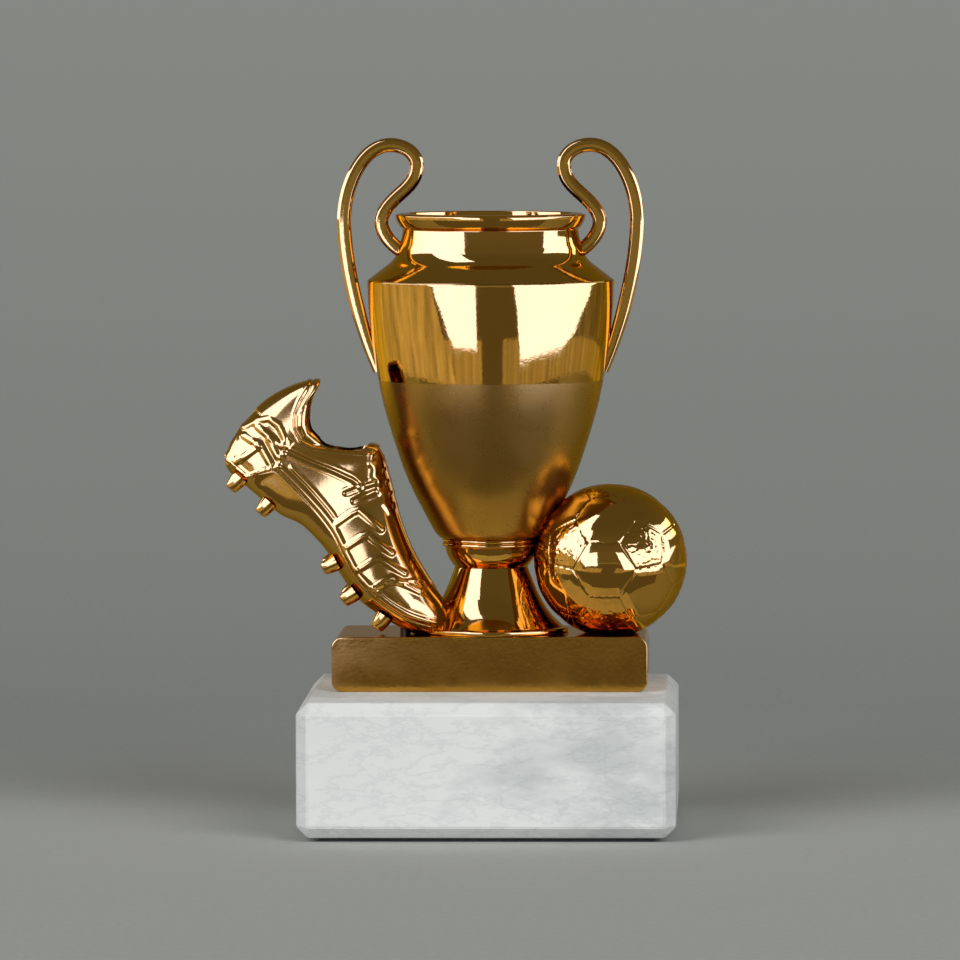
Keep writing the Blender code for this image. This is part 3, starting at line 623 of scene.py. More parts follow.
def hex_nut(name, node):
    """A nut whose corners are turned off at 30 degrees on both faces."""
    low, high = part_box(node)
    flats, height = (high.x - low.x) / 2, high.z - low.z
    corner = flats / math.cos(math.radians(30))
    rows = []
    for level in spaced(0.0, 1.0, 13):
        z = low.z + height * level
        from_face = min(level, 1 - level) * height
        limit = flats * 0.97 + from_face / math.tan(math.radians(30))
        ring = []
        for k in range(96):
            angle = 2 * math.pi * k / 96
            flat = flats / math.cos((angle % math.radians(60)) - math.radians(30))
            r = min(flat, limit, corner)
            ring.append((r * math.cos(angle), r * math.sin(angle), z))
        rows.append(ring)
    hole = [[(BORE_R * math.cos(2 * math.pi * k / 96), BORE_R * math.sin(2 * math.pi * k / 96), z)
             for k in range(96)] for z in (high.z, low.z)]
    bm = bmesh.new()
    skin(bm, rows + hole, closed_along=True)
    piece(name, to_mesh(bm, name), STEEL, node)


def washer(name, node):
    low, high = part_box(node)
    profile = [(high.x, high.z), (high.x, low.z), (BORE_R, low.z), (BORE_R, high.z)]
    turned(name, softened(profile, 0.15 * MM), STEEL, node, steps=96)


# ---------------------------------------------------------------- ball

GOLDEN = (1 + math.sqrt(5)) / 2
PENTAGON_PLANE = 2.32744  # distances of the two kinds of face from the centre, for an edge of 1
HEXAGON_PLANE = 2.26728
BALL_LOOKS_UP = math.radians(17)
BALL_LOOKS_LEFT = math.radians(4)
SEAM_WIDTH = 0.30 * MM
SEAM_DEPTH = 0.13 * MM
PEBBLE = 0.60 * MM
PEBBLE_HEIGHT = 0.10 * MM


def panel_normals():
    """Unit normals of the 12 pentagons and the 20 hexagons of a football."""
    pentagons, hexagons = [], []
    for a in (-1, 1):
        for b in (-GOLDEN, GOLDEN):
            pentagons += [(0, a, b), (a, b, 0), (b, 0, a)]
            hexagons += [(0, a / GOLDEN**0 * (1 / GOLDEN), b), (a / GOLDEN, b, 0), (b, 0, a / GOLDEN)]
    for a in (-1, 1):
        for b in (-1, 1):
            hexagons += [(a, b, 1), (a, b, -1)]
    return pentagons, hexagons


def dodecahedron_normals():
    """The 20 directions of the hexagons: the corners of a dodecahedron dual to the pentagons."""
    inverse = 1 / GOLDEN
    made = [(a, b, c) for a in (-1, 1) for b in (-1, 1) for c in (-1, 1)]
    for a in (-inverse, inverse):
        for b in (-GOLDEN, GOLDEN):
            made += [(a, 0, b), (0, b, a), (b, a, 0)]
    return made


def icosahedron_normals():
    """The 12 directions of the pentagons."""
    made = []
    for a in (-1, 1):
        for b in (-GOLDEN, GOLDEN):
            made += [(0, a, b), (a, b, 0), (b, 0, a)]
    return made


def ball():
    """Both halves: 32 panels with sunken seams, and pebbled pentagons."""
    low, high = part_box("ball_front_half")
    rear_low, rear_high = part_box("ball_rear_half")
    radius = (high.x - low.x) / 2
    centre = Vector(((high.x + low.x) / 2, (high.y + rear_low.y) / 2, high.z - radius))
    up, left = BALL_LOOKS_UP, BALL_LOOKS_LEFT
    facing = Vector((-math.sin(left) * math.cos(up), -math.cos(left) * math.cos(up), math.sin(up)))
    right = Vector((0, 0, 1)).cross(facing).normalized()
    turn = np.array(Matrix((right.cross(facing), right, facing)))

    bm = bmesh.new()
    bmesh.ops.create_icosphere(bm, subdivisions=7, radius=1.0)
    bm.verts.ensure_lookup_table()
    directions = np.array([v.co.normalized() for v in bm.verts])
    local = directions @ turn.T
    pentagons = np.array([Vector(n).normalized() for n in icosahedron_normals()])
    hexagons = np.array([Vector(n).normalized() for n in dodecahedron_normals()])
    reach = np.hstack([local @ pentagons.T / PENTAGON_PLANE, local @ hexagons.T / HEXAGON_PLANE])
    order = np.sort(reach, axis=1)
    nearest = reach.argmax(axis=1)
    margin = (order[:, -1] - order[:, -2]) / order[:, -1] * radius * 1.5
    groove = SEAM_DEPTH * (1 - smoothstep(0.0, SEAM_WIDTH, margin))
    crown = 0.10 * MM * smoothstep(0.0, 2.2 * MM, margin)
    pebbled = (nearest < 12) * smoothstep(SEAM_WIDTH * 1.3, SEAM_WIDTH * 3.2, margin)
    offsets = -0.10 * MM - groove + crown
    for i, vert in enumerate(bm.verts):
        height = offsets[i]
        if pebbled[i] > 0.01:
            spot = Vector(directions[i] * radius / PEBBLE)
            distances, _ = noise.voronoi(spot)
            height += PEBBLE_HEIGHT * pebbled[i] * (0.9 - 1.6 * distances[0]) - 0.04 * MM * pebbled[i]
        vert.co = centre + Vector(directions[i]) * min(radius, radius + height)
    floor_z = plinth_high.z + TOUCH
    bmesh.ops.bisect_plane(
        bm, geom=bm.verts[:] + bm.edges[:] + bm.faces[:], plane_co=(0, 0, floor_z),
        plane_no=(0, 0, -1), clear_outer=True,
    )
    for name, node, sense in (
        ("ball_front", "ball_front_half", 1),
        ("ball_rear", "ball_rear_half", -1),
    ):
        half = bm.copy()
        bmesh.ops.bisect_plane(
            half, geom=half.verts[:] + half.edges[:] + half.faces[:], plane_co=centre,
            plane_no=(0, sense, 0), clear_outer=True,
        )
        rim = [e for e in half.edges if e.is_boundary]
        bmesh.ops.holes_fill(half, edges=rim, sides=0)
        piece(name, to_mesh(half, name), GOLD, node)
    bm.free()


# ---------------------------------------------------------------- boot

BOOT_AT = Vector((-49.5, -5.5, 66.5)) * MM
BOOT_PITCH = math.radians(40)
BOOT_YAW = math.radians(1.5)
BOOT_WALL = 1.4 * MM


# Side outlines of the boot in its own axes: x from heel to toe, z from the sole to the opening.
BOOT_TOP = smooth_curve(in_mm([
    (-3.8, 9.5), (-3.5, 13.4), (-2.8, 16.6), (-0.2, 22.0), (2.0, 24.4), (2.7, 24.3),
    (3.3, 21.9), (4.4, 19.6), (5.9, 17.6), (7.5, 16.6), (9.6, 16.4), (13.8, 18.4),
    (18.9, 22.0), (19.9, 21.7), (24.7, 18.7), (30.9, 14.3), (36.4, 11.3), (42.8, 9.0),
    (47.2, 7.6), (50.2, 5.8), (51.2, 3.6),
]))
BOOT_BOTTOM = smooth_curve(in_mm([
    (-3.8, 8.0), (-3.3, 4.6), (-2.2, 2.1), (-0.6, 0.6), (1.5, 0.2), (12.2, 0.2),
    (17.5, 1.3), (22.7, 0.8), (28.5, -1.1), (34.7, -2.6), (40.0, -2.2), (45.0, -1.3),
    (49.0, 0.6), (50.8, 2.5), (51.2, 3.3),
]))
BOOT_HALF_WIDTH = smooth_curve(in_mm([
    (-3.8, 0.6), (-3.3, 2.9), (-2.0, 4.7), (0.5, 6.0), (5.0, 6.6), (14.0, 6.3),
    (20.0, 6.7), (28.0, 8.6), (36.0, 9.5), (42.0, 8.9), (46.5, 7.3), (49.5, 4.9),
    (50.8, 2.6), (51.2, 0.6),
]))
SOLE_LINE = smooth_curve(in_mm([
    (-5.0, 2.2), (-1.0, 1.6), (3.0, 1.5), (5.1, 4.6), (7.2, 6.8), (10.2, 6.6), (15.8, 5.9),
    (21.7, 4.7), (27.5, 2.3), (31.7, 0.8), (37.7, 0.4), (42.1, 0.9), (46.9, 2.5), (53.0, 5.5),
]))
BOOT_SQUARE_TOP = smooth_curve([(x * MM, n) for x, n in ((-4, 2.4), (1, 5.0), (17, 5.0), (24, 2.3), (52, 2.0))])
SQUARE_BOTTOM = 3.0
WIDEST_AT = 0.33
HEEL_TAB_X = 2.6 * MM
THROAT_X = 17.2 * MM
TONGUE_T = 1.1 * MM
RING_POINTS = 340
STATIONS = 360


def section(x, top, bottom, half_width, square_top, points):
    """A closed superellipse section at x with its points evenly spaced along it."""
    middle = bottom + WIDEST_AT * (top - bottom)
    angle = np.linspace(-math.pi / 2, 1.5 * math.pi, 1601)
    c, s = np.cos(angle), np.sin(angle)
    power = np.where(s > 0, 2 / square_top, 2 / SQUARE_BOTTOM)
    reach = np.where(s > 0, top - middle, middle - bottom)
    y = half_width * np.sign(c) * np.abs(c) ** power
    z = middle + reach * np.sign(s) * np.abs(s) ** power
    run = np.concatenate([[0], np.cumsum(np.hypot(np.diff(y), np.diff(z)))])
    stops = np.linspace(0, run[-1], points + 1)[:-1]
    return [Vector((x, a, b)) for a, b in zip(np.interp(stops, run, y), np.interp(stops, run, z))]


def boot_object(name, bm):
    made = bpy.data.objects.new(name, to_mesh(bm, name))
    bpy.context.scene.collection.objects.link(made)
    return made


def polyline_distance(x, z, line):
    """The distance from each point to a polyline, and how far along it the nearest point is."""
    best = np.full(len(x), 1e9)
    for (x0, z0), (x1, z1) in zip(line, line[1:]):
        dx, dz = x1 - x0, z1 - z0
        t = np.clip(((x - x0) * dx + (z - z0) * dz) / (dx * dx + dz * dz), 0, 1)
        best = np.minimum(best, np.hypot(x - x0 - t * dx, z - z0 - t * dz))
    return best


def ridge(distance, width):
    """1 on the line, falling to 0 at the width."""
    return 1 - smoothstep(0.15 * width, width, distance)


COLLAR_LINE = in_mm([(1.2, 24.0), (1.9, 21.8), (2.3, 19.4), (3.1, 17.0), (4.5, 15.2), (6.9, 14.2),
                     (9.2, 14.7), (12.0, 16.3), (15.2, 18.5), (18.2, 20.7)])
QUARTER_SEAMS = [
    in_mm([(5.7, 10.6), (10.1, 11.7), (14.9, 13.3), (19.0, 14.4), (21.1, 14.4), (22.6, 16.6)]),
    in_mm([(19.6, 11.6), (21.1, 14.4)]),
    in_mm([(21.6, 11.4), (23.6, 15.4)]),
]
EYESTAY = in_mm([(18.6, 20.2), (19.6, 18.9), (20.8, 18.9), (21.6, 17.5), (22.9, 17.4), (23.8, 16.1),
                 (25.2, 15.9), (26.4, 14.8), (28.4, 14.3)])
HEEL_CAP = in_mm([(-3.2, 8.8), (-2.0, 11.4), (-0.5, 13.2), (1.8, 13.4), (4.3, 12.2), (5.7, 10.6), (6.6, 7.6)])
HEEL_RIBS = [
    in_mm([(-1.2, 10.6), (4.7, 10.7)]),
    in_mm([(2.2, 10.0), (5.4, 8.8)]),
    in_mm([(-2.2, 7.6), (1.6, 8.2), (5.4, 6.8)]),
    in_mm([(1.4, 8.0), (0.2, 3.2)]),
]
FLEX_RIDGES = 4


def flex_ridge(index):
    """One of a row of evenly spaced ridges across the forefoot, from the welt to the instep."""
    x = (21.9 + 4.3 * index) * MM
    line = []
    for run, share in ((0.0, 0.10), (0.9, 0.34), (1.6, 0.44), (3.2, 0.50), (7.2, 0.66)):
        at = x + run * MM
        sole, top = SOLE_LINE(at), BOOT_TOP(at)
        line.append((at, sole + share * (top - sole)))
    return line


def boot_relief(x, y, z):
    """How far the boot's surface stands out from its plain form, from its side-view place."""
    out = np.zeros(len(x))
    sole = np.array([SOLE_LINE(v) for v in x])
    top = np.array([BOOT_TOP(v) for v in x])
    half = np.array([BOOT_HALF_WIDTH(v) for v in x])
    over = z - sole
    on_upper = smoothstep(-0.2 * MM, 0.3 * MM, over)
    # the welt: a bead where the upper meets the sole, and a line of stitching above it
    out += 0.26 * MM * ridge(np.abs(over - 0.6 * MM), 0.95 * MM)
    out -= 0.16 * MM * ridge(np.abs(over + 0.1 * MM), 0.40 * MM)
    stitched = smoothstep(8 * MM, 9 * MM, x) * (1 - smoothstep(20.6 * MM, 21.6 * MM, x))
    out += 0.13 * MM * stitched * ridge(np.abs(over - 2.1 * MM), 0.6 * MM)
    # the sole's side wall is slightly hollow
    depth = np.clip(-over / (5 * MM), 0, 1)
    out -= 0.25 * MM * np.sin(math.pi * depth) * (over < 0)
    # padded collar above its piping
    collar = polyline_distance(x, z, COLLAR_LINE)
    line_z = np.interp(x, [p[0] for p in COLLAR_LINE[2:]], [p[1] for p in COLLAR_LINE[2:]])
    above = (z > line_z) & (x < 19 * MM) & (x > 2.0 * MM)
    out += 0.34 * MM * above * smoothstep(0.2 * MM, 1.2 * MM, collar)
    out += 0.10 * MM * ridge(np.abs(collar - 0.6 * MM), 0.5 * MM) * (~above)
    out -= 0.20 * MM * ridge(collar, 0.50 * MM)
    # seams of the quarter
    for seam in QUARTER_SEAMS:
        near = polyline_distance(x, z, seam)
        out -= 0.17 * MM * ridge(near, 0.50 * MM)
        out += 0.06 * MM * ridge(np.abs(near - 0.8 * MM), 0.5 * MM)
    # the eyestay's wavy edge stands proud of the lacing
    stay = polyline_distance(x, z, EYESTAY)
    out += 0.24 * MM * ridge(stay, 0.85 * MM)
    # heel cap: a raised panel with ribs
    cap = polyline_distance(x, z, HEEL_CAP)
    out += 0.17 * MM * ridge(cap, 0.7 * MM)
    inside = (x < 6.2 * MM) & (z < 12.6 * MM) & (over > 0.6 * MM)
    out -= 0.22 * MM * inside * smoothstep(0.3 * MM, 1.0 * MM, cap)
    for rib in HEEL_RIBS:
        out += 0.30 * MM * ridge(polyline_distance(x, z, rib), 0.95 * MM) * inside
    # flex ridges over the forefoot
    for index in range(FLEX_RIDGES):
        near = polyline_distance(x, z, flex_ridge(index))
        out += 0.30 * MM * ridge(near, 0.85 * MM)
    # toe cap edge
    edge = polyline_distance(x, z, toe_cap_line())
    out += 0.14 * MM * ridge(edge, 0.6 * MM)
    # relief fades near the crest and on the bottom
    crest = 1 - smoothstep(0.80, 0.97, (z - sole) / np.maximum(top - sole, MM) * (x > 19 * MM))
    bottom = smoothstep(0.25, 0.65, np.abs(y) / np.maximum(half, 0.5 * MM))
    keep = np.where(over > 0, crest, bottom)
    return out * keep * np.clip(on_upper + 0.999, 0, 1)


def toe_cap_line():
    return in_mm([(35.0, 1.6), (36.2, 3.4), (38.6, 6.2), (41.4, 8.6)])


def boot_body():
    ease = np.linspace(0, math.pi, STATIONS)
    share = 0.5 * (1 - np.cos(ease)) * 0.55 + np.linspace(0, 1, STATIONS) * 0.45
    xs = (-3.8 + 55.0 * share) * MM
    rings = [
        section(x, BOOT_TOP(x), BOOT_BOTTOM(x), BOOT_HALF_WIDTH(x), BOOT_SQUARE_TOP(x), RING_POINTS)
        for x in xs
    ]
    bm = bmesh.new()
    rows = skin(bm, rings)
    bm.faces.new(list(reversed(rows[0])))
    bm.faces.new(rows[-1])
    bmesh.ops.recalc_face_normals(bm, faces=bm.faces)
    bm.normal_update()
    places = np.array([v.co for v in bm.verts])
    relief = boot_relief(places[:, 0], places[:, 1], places[:, 2])
    normals = np.array([v.normal for v in bm.verts])
    for vert, normal, height in zip(bm.verts, normals, relief):
        vert.co += Vector(normal) * float(height - RELIEF_BED)
    return boot_object("boot_body", bm)


RELIEF_BED = 0.15 * MM  # the plain form is sunk by this much, so that the ridges stay within the boot's size
HOLLOW_X = [0.2, 1.2, 2.3, 3.1, 4.5, 7.0, 9.0, 11.0, 13.0, 14.5, 16.0, 16.8, 17.6, 19.0, 22.0, 26.0, 31.0, 36.0, 41.0]


def boot_hollow():
    rings = []
    for x in (station * MM for station in HOLLOW_X):
        floor = max(SOLE_LINE(x), BOOT_BOTTOM(x) + BOOT_WALL) + BOOT_WALL
        if HEEL_TAB_X < x < THROAT_X:
            top, square = 28 * MM, 6.0
        else:
            drop = BOOT_WALL + TONGUE_T if x > THROAT_X else 0.3 * MM
            top, square = BOOT_TOP(x - (BOOT_WALL if x < HEEL_TAB_X else 0)) - drop, BOOT_SQUARE_TOP(x)
        width = (BOOT_HALF_WIDTH(x) - BOOT_WALL - 0.2 * MM) * (0.75 if x < MM else 1.0)
        rings.append(section(x, top, floor, width, square, 72))
    bm = bmesh.new()
    rows = skin(bm, rings)
    bm.faces.new(list(reversed(rows[0])))
    bm.faces.new(rows[-1])
    return boot_object("boot_hollow", bm)


def under_sole_line():
    """Everything below the line where the outsole begins."""
    xs = spaced(-6 * MM, 53 * MM, 70)
    rings = []
    for x in xs:
        z = SOLE_LINE(x)
        rings.append([Vector((x, y, h)) for y, h in ((-15 * MM, z), (15 * MM, z), (15 * MM, -9 * MM), (-15 * MM, -9 * MM))])
    bm = bmesh.new()
    rows = skin(bm, rings)
    bm.faces.new(list(reversed(rows[0])))
    bm.faces.new(rows[-1])
    return boot_object("under_sole", bm)


def place_boot(obj):
    turn = Matrix.Rotation(BOOT_YAW, 4, "Z") @ Matrix.Rotation(BOOT_PITCH, 4, "Y")
    obj.data.transform(Matrix.Translation(BOOT_AT) @ turn)


def finish_boot(obj, name, *nodes):
    """Puts a part of the boot in place, trims it flat on the plinth and makes it a piece."""
    place_boot(obj)
    bm = bmesh.new()
    bm.from_mesh(obj.data)
    floor_z = plinth_high.z + TOUCH
    bmesh.ops.bisect_plane(
        bm, geom=bm.verts[:] + bm.edges[:] + bm.faces[:], plane_co=(0, 0, floor_z),
        plane_no=(0, 0, -1), clear_outer=True,
    )
    rim = [e for e in bm.edges if e.is_boundary]
    bmesh.ops.holes_fill(bm, edges=rim, sides=0)
    mesh = to_mesh(bm, name)
    bpy.data.objects.remove(obj)
    return piece(name, mesh, GOLD_BOOT, *nodes, crease=55)


STUD_X = [2.6 * MM, 9.8 * MM, 26.2 * MM, 32.6 * MM, 40.0 * MM]
STUD_PROFILE = in_mm([(1.62, 0.9), (1.6, 0.0), (1.42, -0.9), (1.26, -1.75), (1.1, -1.98), (0.8, -2.08), (0.0, -2.1)])


def studs(bm):
    """Ten tapered studs with rounded tips, in two rows."""
    steps = 40
    for x in STUD_X:
        for side in (-1, 1):
            slope = (BOOT_BOTTOM(x + MM) - BOOT_BOTTOM(x - MM)) / (2 * MM)
            tilt = Matrix.Rotation(-math.atan(slope), 4, "Y")
            root = Vector((x, side * (BOOT_HALF_WIDTH(x) - 2.5 * MM), BOOT_BOTTOM(x) + 0.1 * MM))
            place = Matrix.Translation(root) @ tilt
            rings = []
            for r, z in STUD_PROFILE[:-1]:
                ring = [(r * math.cos(2 * math.pi * k / steps), r * math.sin(2 * math.pi * k / steps), z) for k in range(steps)]
                rings.append([place @ Vector(p) for p in ring])
            rows = skin(bm, rings)
            bm.faces.new(rows[0])
            bm.faces.new(rows[-1])


def boot_tongue():
    """A crowned strip down the instep, from the throat to the toe, with laces over its upper part."""
    bm = bmesh.new()
    stations = spaced(18.3 * MM, 45.5 * MM, 120)
    rings = []
    for i, x in enumerate(stations):
        slope = (BOOT_TOP(x + 0.3 * MM) - BOOT_TOP(x - 0.3 * MM)) / (0.6 * MM)
        up = Vector((-slope, 0, 1)).normalized()
        end = min(i, len(stations) - 1 - i) / 14
        fade = math.sin(min(1.0, end) * math.pi / 2) * 0.9 + 0.1
        half = (2.7 - 0.9 * max(0.0, (x - 30 * MM) / (16 * MM))) * MM * fade
        base = Vector((x, 0, BOOT_TOP(x)))
        ring = []
        for k in range(24):
            angle = 2 * math.pi * k / 24
            c, s = math.cos(angle), math.sin(angle)
            across = half * math.copysign(abs(c) ** 0.75, c)
            rise = (0.22 if s > 0 else 1.0) * MM * math.copysign(abs(s) ** 0.8, s) * fade
            ring.append(base + up * (rise - 0.20 * MM) + Vector((0, across, 0)))
        rings.append(ring)
    rows = skin(bm, rings)
    bm.faces.new(list(reversed(rows[0])))
    bm.faces.new(rows[-1])
    return boot_object("boot_tongue_strip", bm)


LACE_X = [20.9, 22.8, 24.7, 26.6, 28.6]


def laces():
    """Flat laces that cross the tongue from eyestay to eyestay."""
    bm = bmesh.new()
    for index, x in enumerate(LACE_X):
        width = (0.42 if index < len(LACE_X) - 1 else 0.75) * MM
        rings = []
        for t in spaced(-1.0, 1.0, 33):
            at = (x + 0.5 * t) * MM
            slope = (BOOT_TOP(at + 0.3 * MM) - BOOT_TOP(at - 0.3 * MM)) / (0.6 * MM)
            along = Vector((1, 0, slope)).normalized()
            up = Vector((-slope, 0, 1)).normalized()
            y = 4.1 * MM * t
            drop = 1.35 * MM * abs(t) ** 2.6
            middle = Vector((at, y, BOOT_TOP(at) - drop)) - up * 0.04 * MM
            ring = []
            for k in range(12):
                angle = 2 * math.pi * k / 12
                ring.append(middle + along * width * math.cos(angle) + up * 0.14 * MM * math.sin(angle))
            rings.append(ring)
        rows = skin(bm, rings)
        bm.faces.new(list(reversed(rows[0])))
        bm.faces.new(rows[-1])
    return boot_object("boot_laces", bm)


def boot():
    body = boot_body()
    outsole = bpy.data.objects.new("boot_outsole_body", body.data.copy())
    bpy.context.scene.collection.objects.link(outsole)
    sole_region = under_sole_line()
    apply_boolean(outsole, sole_region, "INTERSECT", keep_tool=True)
    apply_boolean(body, sole_region, "DIFFERENCE")
    apply_boolean(body, boot_hollow(), "DIFFERENCE")
    bm = bmesh.new()
    bm.from_mesh(outsole.data)
    studs(bm)
    bm.to_mesh(outsole.data)
    bm.free()
    finish_boot(body, "boot_upper", "boot_left_half", "boot_right_half")
    finish_boot(outsole, "boot_outsole_studded", "boot_outsole")
    finish_boot(boot_tongue(), "boot_tongue_ridge", "boot_tongue")
    finish_boot(laces(), "boot_lacing")


# ---------------------------------------------------------------- studio

FLOOR_GREY = 0.53
FLOOR_SIZE = 120.0
# Painted shade: how much darker the floor is painted with the distance behind the trophy, as (share, shade), where
# the share is distance / (distance + FALL_OFF).
FALL_OFF = 0.5
FLOOR_PAINTED_SHADE = [(0.0, 1.0), (0.10, 0.90), (0.24, 0.72), (0.34, 0.68), (0.5, 0.72), (0.67, 0.76), (0.8, 0.79), (1.0, 0.88)]
# The cards stand on a circle round a point behind the trophy.
CARDS_CENTRE = 0.15
CARDS_R = 0.34
ROOM_GLOW = 0.15
WARM = (1.0, 0.93, 0.82)
DAYLIGHT = (2.4, 3.1, 12.0)


def link(name, mesh):
    made = bpy.data.objects.new(name, mesh)
    bpy.context.scene.collection.objects.link(made)
    return made


def floor_paint():
    made, nodes, shader, place = principled("floor_paint", IOR=1.4, Roughness=0.95, Specular_IOR_Level=0.0)
    split = nodes.new("ShaderNodeSeparateXYZ")
    nodes.tree.links.new(place, split.inputs[0])
    # Painted shade: behind the trophy the floor's grey falls to a dark band and rises again far away.
    behind = nodes.math("MAXIMUM", split.outputs["Y"], 0.0)
    share = nodes.math("DIVIDE", behind, nodes.math("ADD", behind, FALL_OFF))
    grey = [(at, tuple(FLOOR_GREY * shade * tint for tint in (0.967, 1.0, 0.957))) for at, shade in FLOOR_PAINTED_SHADE]
    tone = nodes.ramp(share, grey)
    cloth = nodes.noise(place, 700.0, 3.0)
    fleck = nodes.ramp(cloth, [(0.3, (0.93, 0.93, 0.93)), (0.7, (1, 1, 1))])
    both = nodes.new("ShaderNodeMix", {"data_type": "RGBA", "blend_type": "MULTIPLY"})
    both.inputs["Factor"].default_value = 1.0
    nodes.tree.links.new(tone, both.inputs["A"])
    nodes.tree.links.new(fleck, both.inputs["B"])
    nodes.set(shader, "Base Color", both.outputs["Result"])
    return made


def floor():
    bm = bmesh.new()
    bmesh.ops.create_grid(bm, x_segments=1, y_segments=1, size=FLOOR_SIZE)
    mesh = to_mesh(bm, "floor")
    mesh.materials.append(floor_paint())
    link("floor", mesh)


def card_material(name, strength, colour, streaks):
    """A glowing card. Streaks give it soft upright bands, like a curtain."""
    made = bpy.data.materials.new(name)
    made.use_nodes = True
    nodes = Nodes(made.node_tree)
    made.node_tree.nodes.clear()
    glow = nodes.new("ShaderNodeEmission", Color=(*colour, 1.0))
    if streaks:
        split = nodes.new("ShaderNodeSeparateXYZ")
        nodes.tree.links.new(nodes.new("ShaderNodeTexCoord").outputs["Object"], split.inputs[0])
        around = nodes.new("ShaderNodeCombineXYZ")
        nodes.tree.links.new(nodes.math("ARCTAN2", split.outputs["X"], split.outputs["Y"]), around.inputs["X"])
        nodes.tree.links.new(split.outputs["Z"], around.inputs["Y"])
        bands = nodes.noise(around.outputs[0], streaks, 4.0, 0.65)
        level = nodes.ramp(bands, [(0.36, (0.45, 0.45, 0.45)), (0.64, (1, 1, 1))])
        nodes.set(glow, "Strength", nodes.math("MULTIPLY", level, strength))
    else:
        nodes.set(glow, "Strength", strength)
    out = nodes.new("ShaderNodeOutputMaterial")
    nodes.tree.links.new(glow.outputs[0], out.inputs["Surface"])
    return made


def reach(azimuth):
    """How far the cards' circle is from the cup's axis in this direction."""
    towards = -CARDS_CENTRE * math.cos(azimuth)
    return towards + math.sqrt(towards**2 + CARDS_R**2 - CARDS_CENTRE**2)


def card(name, left, right, strength, colour=(1, 1, 1), streaks=0.0, behind=0.0):
    """A card round the trophy, seen only in its reflections.

    left and right are each the card's (azimuth, height, more beyond the circle) at the bottom and
    at the top of that side: degrees from the front towards +X, then metres.
    """
    steps = 32
    rings = []
    for i in range(steps + 1):
        t = i / steps
        ring = []
        for (a0, z0, more0), (a1, z1, more1) in zip(left, right):
            azimuth = math.radians(a0 + (a1 - a0) * t)
            r = reach(azimuth) + more0 + (more1 - more0) * t + behind
            ring.append((r * math.sin(azimuth), -r * math.cos(azimuth), z0 + (z1 - z0) * t))
        rings.append(ring)
    bm = bmesh.new()
    skin(bm, rings, closed_rings=False)
    mesh = to_mesh(bm, name)
    mesh.materials.append(card_material(name, strength, colour, streaks))
    made = link(name, mesh)
    made.visible_camera = False
    made.visible_diffuse = False
    made.visible_shadow = False
    made.visible_transmission = False
    made.visible_volume_scatter = False


def upright(azimuth_low, azimuth_high, low, high):
    """One side of an upright card."""
    return (azimuth_low, low, 0.0), (azimuth_high, high, 0.0)


def sun(name, azimuth, elevation, strength, softness):
    lamp = bpy.data.lights.new(name, "SUN")
    lamp.energy = strength
    lamp.angle = math.radians(softness)
    made = bpy.data.objects.new(name, lamp)
    a, e = math.radians(azimuth), math.radians(elevation)
    towards = Vector((math.sin(a) * math.cos(e), -math.cos(a) * math.cos(e), math.sin(e)))
    made.rotation_euler = towards.to_track_quat("Z", "Y").to_euler()
    made.visible_glossy = False
    bpy.context.scene.collection.objects.link(made)


def surroundings():
    """A dim grey room."""
    world = bpy.data.worlds.new("studio")
    world.use_nodes = True
    bpy.context.scene.world = world
    nodes = Nodes(world.node_tree)
    direction = nodes.new("ShaderNodeTexCoord").outputs["Generated"]
    split = nodes.new("ShaderNodeSeparateXYZ")
    nodes.tree.links.new(direction, split.inputs[0])
    level = (ROOM_GLOW * 1.1, ROOM_GLOW * 1.08, ROOM_GLOW)
    above = tuple(v * 0.75 for v in level)
    shade = nodes.ramp(split.outputs["Z"], [(0.0, level), (0.3, level), (0.8, above)])
    background = world.node_tree.nodes["Background"]
    nodes.tree.links.new(shade, background.inputs["Color"])
    background.inputs["Strength"].default_value = 1.0


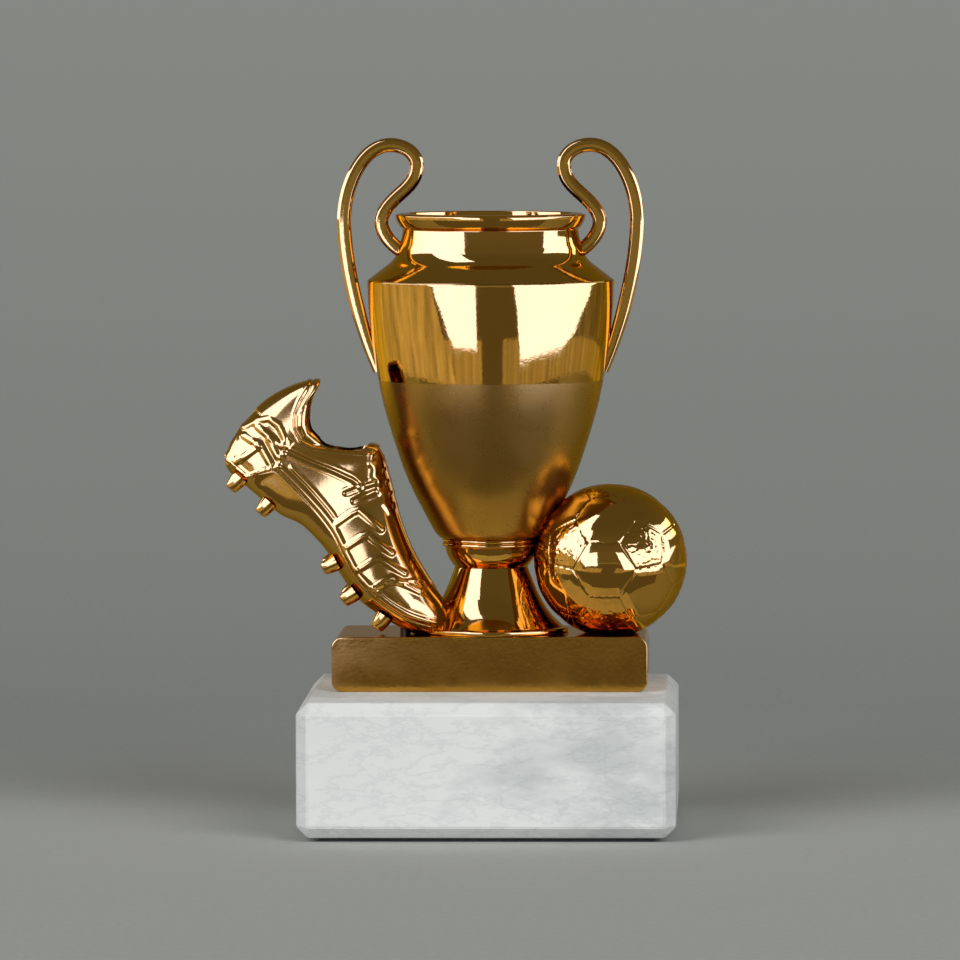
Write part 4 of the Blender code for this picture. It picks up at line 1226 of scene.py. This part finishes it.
def studio():
    floor()
    surroundings()
    sun("key_left", -38, 30, 1.35, 40)
    sun("key_right", 34, 27, 1.35, 40)
    step, top = 0.108, 0.25
    card("window_left", upright(-33, -58, 0.033, step), upright(-11, -12, 0.033, step), 1.0, DAYLIGHT)
    card("window_right", upright(30, 20, 0.022, step), upright(72, 118, 0.022, step), 1.0, DAYLIGHT)
    card("over_left", upright(-120, -120, step, top), upright(-32, -32, step, top), 1.0, DAYLIGHT)
    card("over_right", upright(74, 74, step, top), upright(98, 98, step, top), 1.0, DAYLIGHT)
    card("far_right", upright(98, 98, 0.165, top), upright(135, 135, 0.165, top), 1.0, DAYLIGHT)
    card("high_left", upright(-80, -76, top, 0.70), upright(-38, -36, top, 0.70), 1.0, DAYLIGHT)
    card("curtain_left", upright(-150, -150, 0.0, step), upright(-33, -58, 0.0, step), 0.85, WARM, 9.0, 0.01)
    card("curtain_right", upright(72, 118, 0.03, step), upright(150, 150, 0.03, step), 0.30, WARM, 9.0, 0.01)
    inner, outer = (0.001, 0.0), (0.001, 0.15)
    card("strip_left", ((-150, *inner), (-150, *outer)), ((-7, *inner), (-7, *outer)), 0.70, WARM, 14.0)
    card("strip_right", ((13, *inner), (13, *outer)), ((150, *inner), (150, *outer)), 0.60, WARM, 14.0)
    table = (0.0005, -0.14), (0.0005, 1.2)
    card("table_front", ((-75, *table[0]), (-75, *table[1])), ((75, *table[0]), (75, *table[1])), 0.135, WARM)


# ---------------------------------------------------------------- camera

CAMERA_DISTANCE = 1.6
CAMERA_HEIGHT = 0.1598
CAMERA_AZIMUTH = math.radians(1.7)
CAMERA_ROLL = math.radians(-0.15)
AIM = Vector((-0.0021, 0, 0.0646))
LENS = 319.6


def camera():
    data = bpy.data.cameras.new("camera")
    data.lens = LENS
    data.sensor_width = 36.0
    data.clip_end = 100.0
    made = bpy.data.objects.new("camera", data)
    a = CAMERA_AZIMUTH
    place = Vector((CAMERA_DISTANCE * math.sin(a), -CAMERA_DISTANCE * math.cos(a), CAMERA_HEIGHT))
    aim = (AIM - place).to_track_quat("-Z", "Y").to_matrix().to_4x4()
    made.matrix_world = Matrix.Translation(place) @ aim @ Matrix.Rotation(CAMERA_ROLL, 4, "Z")
    bpy.context.scene.collection.objects.link(made)
    bpy.context.scene.camera = made


def carried_over():
    """CAD nodes that keep their own shape and take a finish."""
    # The two screws take the near-black steel as painted shade.
    for node, material in (("felt_pad", FELT), ("ball_screw", SCREW_PAINTED_SHADE), ("boot_screw", SCREW_PAINTED_SHADE)):
        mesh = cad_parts[node].data
        mesh.materials.clear()
        mesh.materials.append(material)


def main():
    camera()
    studio()
    bpy.context.scene.view_settings.view_transform = "Standard"
    carried_over()
    marble_block()
    plinth()
    cup_foot()
    cup_collar()
    cup_bowl()
    cup_neck()
    handle("handle_left_bar", -1, "handle_left")
    handle("handle_right_bar", 1, "handle_right")
    threaded_rod()
    for place in ("base", "bowl"):
        washer(f"{place}_washer_steel", f"{place}_washer")
        hex_nut(f"{place}_nut_steel", f"{place}_nut")
    ball()
    boot()


main()
bpy.context.view_layer.update()
